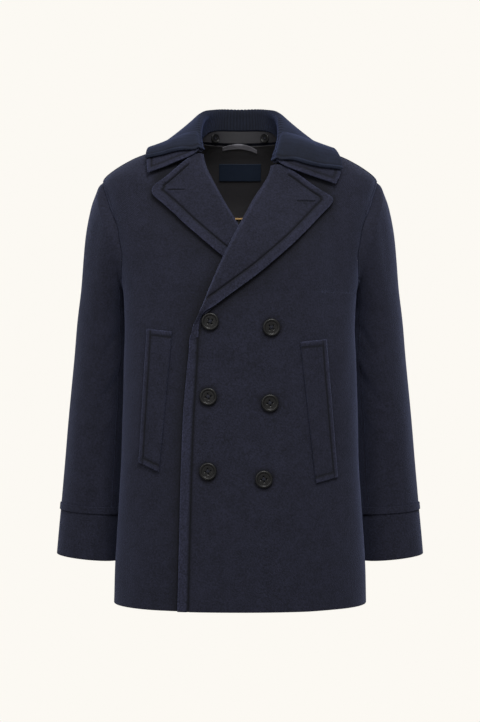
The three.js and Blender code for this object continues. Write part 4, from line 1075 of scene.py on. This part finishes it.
def collar_point(at, along):
    """The wool collar's face: along is 0 at the neck seam, 1 and 2 at the fold's corners, 3 at the edge."""
    at, along = np.broadcast_arrays(np.asarray(at, float), np.asarray(along, float))
    seam = collar_corner(at, "seam")
    fold_in = collar_corner(at, "fold")
    edge = collar_corner(at, "edge")
    away = edge - fold_in
    away[..., 2] = 0
    fold_out = fold_in + unit(away) * COLLAR_FOLD
    corners = [seam, fold_in, fold_out, edge]
    lengths = np.stack([np.linalg.norm(corners[k + 1] - corners[k], axis=-1) for k in range(3)])
    starts = np.stack([np.zeros_like(lengths[0]), lengths[0], lengths[0] + lengths[1]])
    piece = np.clip(np.floor(along), 0, 2).astype(int)
    start = np.choose(piece, starts)
    distance = start + (along - piece) * np.choose(piece, lengths)
    p = np.zeros(at.shape + (3,))
    offsets = np.linspace(-COLLAR_ROUNDING, COLLAR_ROUNDING, 9)
    for offset in offsets:
        length = distance + offset
        k = (length >= starts[1]).astype(int) + (length >= starts[2]).astype(int)
        t = ((length - np.choose(k, starts)) / np.choose(k, lengths))[..., None]
        first = np.choose(k[..., None], corners[:3])
        second = np.choose(k[..., None], corners[1:])
        p += (first * (1 - t) + second * t) / len(offsets)
    fall = np.clip(along - 2, 0, 1)
    p[..., 2] += COLLAR.at("bow", at) * np.sin(np.pi * np.sqrt(fall))
    laid = (along - 1.6) / 0.5
    front = ease((np.abs(at) - 0.7) / 0.15)
    corner = ease((fall - 0.35) / 0.35)
    front_rest = COLLAR_REST_FRONT + (COLLAR_REST_CORNER - COLLAR_REST_FRONT) * corner
    rest = COLLAR_REST + (front_rest - COLLAR_REST) * front
    low = ease((COLLAR_FREE_Z - p[..., 2]) / COLLAR_FREE_Z)
    sunk = np.maximum(rest - height_over(p), 0) * ease(laid) * low
    return moved(p, outward(p), sunk)


def collar_normal(at, along):
    return surface_normal(collar_point, at, along, 0.004, 0.02)


def stand_height(at):
    return np.linalg.norm(collar_corner(at, "fold") - collar_corner(at, "seam"), axis=-1)


def band_top(at):
    height = BAND_HEIGHT * np.maximum(1 - (np.abs(at) / BAND_RUN_OUT) ** 4, 0)
    return np.maximum(height, BAND_LEAST_HEIGHT) / stand_height(at)


def knit_gap(at, along):
    bend = ease((np.abs(at) - 0.25) / 0.2) * ease((along - 0.7) / 0.6)
    return KNIT_GAP + (KNIT_GAP_FRONT - KNIT_GAP) * bend


def wool_collar():
    at = np.linspace(-1, 1, 241)[None, :]
    along = np.concatenate([np.linspace(0, 2, 30), np.linspace(2, 3, 40)[1:]])[:, None]
    points = collar_point(at, along)
    normals = collar_normal(at, along)
    edge = distance_to(points, points[-1])
    ends = np.minimum(distance_to(points, points[:, 0]), distance_to(points, points[:, -1]))
    near = np.minimum(edge, ends)
    puff = puffed_border(near, 9, 0.9) + groove(near, 9, 0.7, 1.4)
    points = moved(points, normals, puff * ease((along - 1.9) / 0.2))
    # Painted shade in the stitch groove and painted highlight over the border and edge
    painted_shading = (painted_groove_shade(near, 9, 2) + painted_border_highlight(near, 9)) * ease((along - 1.9) / 0.2)
    piece = cloth("collar_wool_cloth", points, oriented(grid_normals(points), normals), CLOTH, WOOL_MATERIAL,
                  painted_shading=painted_shading)
    finished(piece, "collar_wool")


def knit_collar():
    share = np.linspace(-1, 1, RIBS * 6 + 1)
    rows = np.concatenate([np.linspace(0, 1, 15), np.linspace(1, 2, 10)[1:], np.linspace(2, 3, 30)[1:]])
    at = share[None, :] * knit_end(share[None, :], np.maximum(rows - 2, 0)[:, None])
    stand = np.clip(rows, 0, 1)[:, None]
    low = band_top(at) + 0.01
    along = np.where(rows[:, None] < 1, low + (1 - low) * stand, rows[:, None])
    base = collar_point(at, along)
    normals = collar_normal(at, along)
    phase = (share + 1) / 2 * RIBS
    rib = np.abs(np.sin(np.pi * phase)) ** 0.7
    fade = 1 - 0.85 * ease((rows - 1.4) / 0.7)
    from_end = np.minimum(distance_to(base, base[:, 0]), distance_to(base, base[:, -1]))
    roll = 5.5
    rounded = 2.4 * np.sqrt(np.clip(1 - ((from_end - roll / 2) / (roll / 2)) ** 2, 0, 1)) * (from_end < roll)
    plain = ease((from_end - roll) / 3)
    rounded = rounded * ease((rows - 2.06) / 0.3)[:, None]
    rise = RIB_HEIGHT * rib[None, :] * fade[:, None] * plain + rounded - 0.5 * groove_share(from_end, roll)
    points = moved(base, normals, knit_gap(at, along) + KNIT + rise)
    across = np.broadcast_to(phase[None, :] * 0.0055, at.shape)
    down = np.swapaxes(lengths_along(np.swapaxes(base, 0, 1)), 0, 1) * MM
    # Painted shade in the groove behind the rolled ends and in the rib valleys, painted highlight on the rolled ends
    piece = cloth("collar_knit_cloth", points, normals, KNIT + rise, KNIT_MATERIAL,
                  weave=np.stack([across, down], axis=-1), bulge=0.9,
                  painted_shading=0.7 * painted_groove_shade(from_end, roll + 0.5, 1.6) - 0.7 * (from_end < roll) * ease((rows - 2.06) / 0.3)[:, None]
                  + 0.75 * (1 - rib[None, :]) * fade[:, None])
    finished(piece, "collar_knit")


def groove_share(distance, place):
    return np.exp(-(((distance - place) / 1.2) ** 2))


def neck_band():
    at = np.linspace(-BAND_END, BAND_END, 90)[None, :]
    share = np.linspace(0.04, 0.97, 14)[:, None]
    along = share * band_top(at)
    normals = collar_normal(at, along)
    points = moved(collar_point(at, along), normals, KNIT_GAP + BAND)
    piece = cloth("neck_band_cloth", points, normals, BAND, SATIN_MATERIAL, bulge=0.3)
    finished(piece, "neck_band")


# Inside the back of the neck
def inside_back(x, z, depth):
    return face_point(1, x, z, back_relief(np.asarray(x, float), z) - depth)


def inside_piece(name, x, z, depth, thickness, finish, bulge=0.3):
    points = inside_back(x, z, depth)
    normals = oriented(grid_normals(points), outward(points))
    piece = cloth(f"{name}_cloth", points, normals, thickness, finish, bulge=bulge)
    return finished(piece, name)


def neck_inside():
    lining_depth = CLOTH + LINING_GAP
    trim_depth = lining_depth + LINING + TRIM_GAP
    z = finer([-2.5, -8, -14, -22, -30, -50, -75, -105, -140, LINING_BOTTOM_Z], 4)[:, None]
    half = np.minimum(LINING_HALF_WIDTH, BODY.at("half", z) * LINING_SHARE)
    x = half * np.linspace(-1, 1, 70)[None, :]
    inside_piece("lining_back", x, z, lining_depth, LINING, LINING_MATERIAL)

    z = np.linspace(PIPING_Z - PIPING_HEIGHT / 2, PIPING_Z + PIPING_HEIGHT / 2, 7)[:, None]
    x = np.linspace(-PIPING_HALF_WIDTH, PIPING_HALF_WIDTH, 160)[None, :]
    piping_depth = lining_depth + LINING + LONG_TRIM_GAP
    inside_piece("lining_piping", x, z, piping_depth, PIPING, PIPING_MATERIAL,
                 bulge=0.7)

    z = np.linspace(LABEL_Z - LABEL_HEIGHT / 2, LABEL_Z + LABEL_HEIGHT / 2, 24)[:, None]
    x = np.linspace(-LABEL_WIDTH / 2, LABEL_WIDTH / 2, 48)[None, :]
    inside_piece("label", x, z, trim_depth, LABEL_THICKNESS, LABEL_MATERIAL)

    x = np.linspace(-30, 29, 60)[None, :]
    edge = np.linspace(-0.5, 0.5, 7)[:, None]
    z = HANGER_LOOP.at("z", x) + edge * HANGER_LOOP_WIDTH * (1 - 0.3 * (x / 30) ** 2)
    inside_piece("hanger_loop", x, z, trim_depth + HANGER_LOOP_SLACK, STRAP, LOOP_MATERIAL,
                 bulge=0.5)


# Sleeves, worked out on the wearer's left and mirrored for the right
def oval(cosine, power):
    return np.maximum(1 - np.abs(cosine) ** power, 0) ** (1 / power)


def sleeve_ring_point(angle, ring):
    cosine = np.cos(angle)
    power = 2 + (ARMHOLE_ROUNDNESS - 2) * np.maximum(1 - ring, 0)

    def between(axis):
        outer = SLEEVE.at(f"outer_{axis}", ring)
        inner = SLEEVE.at(f"inner_{axis}", ring)
        return (outer + inner) / 2 + (outer - inner) / 2 * cosine

    depth = SLEEVE.at("half_depth", ring)
    y = SLEEVE.at("middle_y", ring) + np.sign(np.sin(angle)) * depth * oval(cosine, power)
    return vectors(between("x"), y, between("z"))


def armhole_point(angle):
    cosine = np.cos(angle)
    facing = np.sign(np.sin(angle))
    z = ARMHOLE_Z + ARMHOLE_HALF_HEIGHT * cosine
    across = ARMHOLE_HALF_DEPTH * oval(cosine, ARMHOLE_ROUNDNESS) * armhole_share(facing, z)
    p = side_point(SIDE_SEAM_Y + facing * across, z)
    p[..., 0] += ARMHOLE_SEAM_GAP
    return p


def sleeve_point(angle, ring):
    p = sleeve_ring_point(angle, ring)
    fade = np.maximum(1 - ring, 0)
    fit = armhole_point(angle) - sleeve_ring_point(angle, np.zeros_like(np.asarray(ring, float)))
    return p + fit * np.broadcast_to(fade, p.shape[:-1])[..., None]


def sleeve_normal(angle, ring):
    square = unit(vectors(0, np.sin(angle) / ARMHOLE_HALF_DEPTH, np.cos(angle) / ARMHOLE_HALF_HEIGHT))
    surface = -surface_normal(sleeve_point, angle, np.maximum(ring, 0.02), 0.01, 0.02)
    share = ease(ring / 0.5)[..., None] if np.ndim(ring) else ease(ring / 0.5)
    return unit(square * (1 - share) + surface * share)


def sleeve_relief(angle, ring, z):
    degrees_round = np.degrees((angle + np.pi) % (2 * np.pi) - np.pi)
    arc = degrees_round * 1.25
    table = [(a * 1.25, b, c * 1.25, d, e, f, g) for a, b, c, d, e, f, g in SLEEVE_FOLDS]
    return folds(table, arc, z) * ease((ring - 0.6) / 1.5) * ease((10.9 - ring) / 1.2)


def sleeve_surface(angle, ring, out=0.0):
    angle, ring = np.broadcast_arrays(angle, ring)
    points = sleeve_point(angle, ring)
    normals = sleeve_normal(angle, ring)
    return moved(points, normals, sleeve_relief(angle, ring, points[..., 2]) + out), normals


def sleeve_pieces(side, name):
    half = SLEEVE_SEAM_GAP / 2 / ARMHOLE_HALF_DEPTH
    rings = np.concatenate([np.linspace(0, 1, 14), np.linspace(1, 6, 56)[1:], np.linspace(6, 9.997, 54)[1:]])
    for part, start, end, cells, flat, area in (
        ("top", -SLEEVE_FRONT_SEAM + half, SLEEVE_BACK_SEAM - half, 68, (0.3, 0.58), 0.145),
        ("under", SLEEVE_BACK_SEAM + half, 2 * np.pi - SLEEVE_FRONT_SEAM - half, 34, (0.19, 0.44), 0.066),
    ):
        angle = np.linspace(start, end, cells)[None, :]
        points, normals = sleeve_surface(angle, rings[:, None])
        piece = cloth(f"sleeve_{part}_{name}_cloth", points, normals, CLOTH, WOOL_MATERIAL, side,
                      inner=LINING_MATERIAL)
        finished(piece, f"sleeve_{part}_{name}")

    angle = np.linspace(0, 2 * np.pi, 97)[None, :-1]
    rings = np.linspace(10.003, 11, 20)[:, None]
    points, normals = sleeve_surface(angle, rings)
    piece = cloth(f"cuff_{name}_cloth", points, normals, CLOTH, WOOL_MATERIAL, side, wrap=True, bulge=1.5)
    finished(piece, f"cuff_{name}")

    rings = np.linspace(*CUFF_STRIP_RINGS, 8)[:, None]
    strip = TRIM_GAP + CUFF_STRIP
    points, normals = sleeve_surface(angle, rings, strip)
    piece = cloth(f"cuff_strip_{name}_cloth", points, normals, CUFF_STRIP, WOOL_MATERIAL, side, wrap=True,
                  bulge=0.5)
    finished(piece, f"cuff_strip_{name}")


def shoulder_strap(side, name):
    share = np.linspace(0, 1, 9)[:, None]
    end = np.radians(SHOULDER_STRAP_END - SHOULDER_STRAP_SLANT * share)
    angle = end * np.linspace(-1, 1, 110)[None, :]
    grow = SHOULDER_STRAP_SETBACK + SHOULDER_STRAP_WIDTH * share
    cosine = np.cos(angle)
    z = ARMHOLE_Z + (ARMHOLE_HALF_HEIGHT + grow) * cosine
    across = oval(cosine, ARMHOLE_ROUNDNESS) * armhole_share(angle, z)
    y = SIDE_SEAM_Y + np.sign(angle) * (ARMHOLE_HALF_DEPTH + grow) * across
    points = side_point(y, z)
    points = moved(points, outward(points), SHOULDER_STRAP_GAP + SHOULDER_STRAP + strap_relief(share))
    normals = oriented(grid_normals(points), outward(points))
    # Painted shade in the stitch groove, and the whole strap painted a little lighter as highlight
    piece = cloth(f"shoulder_strap_{name}_cloth", points, normals, SHOULDER_STRAP, WOOL_MATERIAL, side, bulge=0.5,
                  painted_shading=0.8 * painted_groove_shade(share, 0.85, 0.08) * np.ones_like(angle) - 0.25)
    finished(piece, f"shoulder_strap_{name}")


def strap_relief(share):
    return 0.5 * np.sin(np.pi * share) - 0.6 * np.exp(-(((share - 0.85) / 0.08) ** 2))


def welt_piece(side, name):
    corner = WELTS[side]
    down = np.linspace(0, 1, 110)[:, None, None]
    across = np.linspace(0, 1, 34)[None, :, None]
    top = np.array(corner["top_in"]) * (1 - across) + np.array(corner["top_out"]) * across
    low = np.array(corner["low_in"]) * (1 - across) + np.array(corner["low_out"]) * across
    flat = top * (1 - down) + low * down
    x, z = flat[..., 0], flat[..., 1]
    points = on_front(side, x, z, LONG_TRIM_GAP + WELT)
    normals = outward(points)
    fold_edge = distance_to(points, points[:, -1])
    ends = np.minimum(distance_to(points, points[0]), distance_to(points, points[-1]))
    line = np.minimum(
        groove(fold_edge, WELT_BORDER, 1.1, 1.2),
        groove(ends, WELT_END_BORDER, 1.1, 1.2) * (fold_edge > WELT_BORDER - 2),
    )
    puff = np.maximum(puffed_border(fold_edge, WELT_BORDER, 0.9), puffed_border(ends, WELT_END_BORDER, 0.7))
    points = moved(points, normals, line + puff)
    # Painted shade in the stitch grooves and painted highlight over the borders and edges
    painted_shading = np.maximum(painted_groove_shade(fold_edge, WELT_BORDER, 2),
                         painted_groove_shade(ends, WELT_END_BORDER, 2) * (fold_edge > WELT_BORDER - 2))
    painted_shading = painted_shading + np.minimum(painted_border_highlight(fold_edge, WELT_BORDER), painted_border_highlight(ends, WELT_END_BORDER))
    piece = cloth(f"welt_{name}_cloth", points, oriented(grid_normals(points), normals), WELT, WOOL_MATERIAL, side,
                  painted_shading=painted_shading)
    finished(piece, f"welt_{name}")


# Buttons
def button_profile(radius, thickness):
    rows = [(0.0, 0.0), (0.8, 0.0), (0.94, 0.14), (1.0, 0.45), (0.985, 0.72), (0.93, 0.93), (0.86, 1.0),
            (0.78, 0.95), (0.72, 0.8), (0.69, 0.62), (0.66, 0.56), (0.6, 0.6), (0.5, 0.57), (0.0, 0.5)]
    return [(r * radius, y * thickness) for r, y in rows]


def button_mesh(diameter, thickness, hole_circle, hole_radius):
    """A turned disc with a rolled rim and four holes, its back at y = 0."""
    sides = 64
    profile = button_profile(diameter / 2, thickness)
    angle = np.linspace(0, 2 * np.pi, sides, endpoint=False)
    corners = [(0, profile[0][1], 0)]
    for r, y in profile[1:-1]:
        corners += [(r * math.cos(a), y, r * math.sin(a)) for a in angle]
    corners.append((0, profile[-1][1], 0))
    rings = len(profile) - 2
    faces = []
    for j in range(sides):
        k = (j + 1) % sides
        faces.append((0, 1 + j, 1 + k))
        for i in range(rings - 1):
            a, b = 1 + i * sides, 1 + (i + 1) * sides
            faces.append((a + j, b + j, b + k, a + k))
        last = 1 + (rings - 1) * sides
        faces.append((last + k, last + j, len(corners) - 1))
    mesh = bpy.data.meshes.new("button")
    mesh.from_pydata([(x * MM, y * MM, z * MM) for x, y, z in corners], [], [f[::-1] for f in faces])
    body = bpy.data.objects.new("button", mesh)
    bpy.context.scene.collection.objects.link(body)
    drills = []
    for k in range(4):
        turn = math.pi / 4 + k * math.pi / 2
        bpy.ops.mesh.primitive_cylinder_add(
            vertices=16, radius=hole_radius * MM, depth=thickness * 4 * MM,
            location=(hole_circle * math.cos(turn) * MM, 0, hole_circle * math.sin(turn) * MM),
            rotation=(math.pi / 2, 0, 0),
        )
        drill = bpy.context.object
        cut = body.modifiers.new(f"hole {k}", "BOOLEAN")
        cut.operation = "DIFFERENCE"
        cut.solver = "EXACT"
        cut.object = drill
        drills.append(drill)
    made = bpy.data.meshes.new_from_object(body.evaluated_get(bpy.context.evaluated_depsgraph_get()))
    for extra in (body, *drills):
        bpy.data.objects.remove(extra)
    return made


def thread_mesh(hole_circle, height, radius):
    """Crossed thread through the four holes, each pass an arch of round thread."""
    corners = []
    faces = []
    sides = 8
    steps = 12
    for turn in (math.pi / 4, 3 * math.pi / 4):
        for shift in (-0.45, 0.45):
            first = len(corners)
            for i in range(steps + 1):
                t = i / steps
                along = hole_circle * math.cos(math.pi * t)
                up = height + radius * 1.6 * math.sin(math.pi * t) ** 0.6 - 1.2 * (1 - math.sin(math.pi * t))
                for s in range(sides):
                    a = 2 * math.pi * s / sides
                    side_step = shift * radius * 2 + radius * math.cos(a)
                    x = along * math.cos(turn) - side_step * math.sin(turn)
                    z = along * math.sin(turn) + side_step * math.cos(turn)
                    corners.append((x, up + radius * math.sin(a), z))
            for i in range(steps):
                for s in range(sides):
                    n = (s + 1) % sides
                    a, b = first + i * sides, first + (i + 1) * sides
                    faces.append((a + s, a + n, b + n, b + s))
            faces.append(tuple(first + s for s in range(sides))[::-1])
            faces.append(tuple(first + steps * sides + s for s in range(sides)))
    return np.array(corners), faces


def seated(mesh, place, normal):
    """A copy of a mesh, turned from +Y to the normal and moved to its place."""
    copy = mesh.copy()
    turn = Vector((0, 1, 0)).rotation_difference(Vector(normal)).to_matrix().to_4x4()
    turn.translation = Vector(place) * MM
    copy.transform(turn)
    return copy


def place_button(node, disc, thread, place, normal):
    for mesh, suffix, material in ((disc, "horn", HORN_MATERIAL), (thread, "thread", STITCH_MATERIAL)):
        made = seated(mesh, place, normal)
        made.materials.clear()
        made.materials.append(material)
        made.polygons.foreach_set("use_smooth", np.ones(len(made.polygons), bool))
        piece = bpy.data.objects.new(f"{node}_{suffix}", made)
        bpy.context.scene.collection.objects.link(piece)
        finished(piece, node if suffix == "horn" else None)


def loose_mesh(name, corners, faces):
    mesh = bpy.data.meshes.new(name)
    mesh.from_pydata((np.array(corners) * MM).tolist(), [], faces)
    return mesh


def buttons():
    disc = button_mesh(28, 4.2, 3.6, 1.3)
    thread = loose_mesh("thread", *thread_mesh(3.6, 2.5, 0.5))
    for node, (x, z) in FRONT_BUTTONS.items():
        u = np.array([[x]])
        v = np.array([[z]])
        place = on_front(1, u, v, BUTTON_GAP)[0, 0]
        normal = surface_normal(lambda a, b: on_front(1, a, b, 0), u, v, 4, 4)[0, 0]
        place_button(node, disc, thread, place, normal)
    disc = button_mesh(16, 2.6, 2.2, 0.9)
    thread = loose_mesh("neck thread", *thread_mesh(2.2, 1.6, 0.35))
    for name, sign in (("right", -1), ("left", 1)):
        at = np.array([sign * NECK_BUTTON_AT])
        along = NECK_BUTTON_HEIGHT / stand_height(at)
        normal = collar_normal(at, along)
        place = moved(collar_point(at, along), normal, np.array([KNIT_GAP + BAND + LONG_TRIM_GAP]))
        place_button(f"neck_button_{name}", disc, thread, place[0], normal[0])


# Camera, light and floor
CAMERA_DISTANCE = 2800
CAMERA_HEIGHT = -369
PIXEL = 1.67          # of the photograph, at the coat's middle
PHOTO_HEIGHT = 722
SENSOR = 36
FLOOR_Z = -1500


PALE = (0.973, 0.947, 0.896, 1)
ROOM_LIGHT = 0.4


def seen_or_dim(tree, strength):
    """The room looks plain and pale, and lights the coat only softly."""
    path = tree.nodes.new("ShaderNodeLightPath")
    tree.links.new(math_node(tree, "MULTIPLY_ADD", path.outputs["Is Camera Ray"], 1 - ROOM_LIGHT, ROOM_LIGHT), strength)


def studio():
    camera = bpy.data.cameras.new("camera")
    camera.sensor_width = SENSOR
    camera.lens = SENSOR * CAMERA_DISTANCE / (PHOTO_HEIGHT * PIXEL)
    camera.clip_end = 100
    holder = bpy.data.objects.new("camera", camera)
    holder.location = (0, -CAMERA_DISTANCE * MM, CAMERA_HEIGHT * MM)
    holder.rotation_euler = (math.pi / 2, 0, 0)
    bpy.context.scene.collection.objects.link(holder)
    bpy.context.scene.camera = holder

    world = bpy.data.worlds.new("studio air")
    world.use_nodes = True
    backdrop = world.node_tree.nodes["Background"]
    backdrop.inputs["Color"].default_value = PALE
    seen_or_dim(world.node_tree, backdrop.inputs["Strength"])
    bpy.context.scene.world = world
    bpy.context.scene.view_settings.view_transform = "Standard"

    for name, place, size, power in (
        ("key light", (0.4, -2.2, 2.0), 1.3, 80),
        ("fill light", (-1.4, -2.4, 0.9), 1.8, 22),
    ):
        light = bpy.data.lights.new(name, "AREA")
        light.shape = "SQUARE"
        light.size = size
        light.energy = power
        lamp = bpy.data.objects.new(name, light)
        lamp.location = place
        aim = Vector((0, 0, -0.35)) - Vector(place)
        lamp.rotation_euler = aim.to_track_quat("-Z", "Y").to_euler()
        bpy.context.scene.collection.objects.link(lamp)

    reach_out = 30
    corners = [(-reach_out, -reach_out), (reach_out, -reach_out), (reach_out, reach_out), (-reach_out, reach_out)]
    mesh = bpy.data.meshes.new("floor")
    mesh.from_pydata([(x, y, FLOOR_Z * MM) for x, y in corners], [], [(0, 1, 2, 3)])
    material = bpy.data.materials.new("pale floor")
    material.use_nodes = True
    shader = material.node_tree.nodes["Principled BSDF"]
    shader.inputs["Base Color"].default_value = (0, 0, 0, 1)
    shader.inputs["Roughness"].default_value = 1
    shader.inputs["Specular IOR Level"].default_value = 0
    shader.inputs["Emission Color"].default_value = PALE
    seen_or_dim(material.node_tree, shader.inputs["Emission Strength"])
    mesh.materials.append(material)
    floor = bpy.data.objects.new("floor", mesh)
    bpy.context.scene.collection.objects.link(floor)


studio()
back_piece()
front_piece(1, "left")
front_piece(-1, "right")
lapel_piece(1, "left", (91, 120, -112.5))
lapel_piece(-1, "right", (90, 116, -93.3))
wool_collar()
knit_collar()
neck_band()
neck_inside()
sleeve_pieces(1, "left")
sleeve_pieces(-1, "right")
shoulder_strap(1, "left")
shoulder_strap(-1, "right")
welt_piece(1, "left")
welt_piece(-1, "right")
buttons()
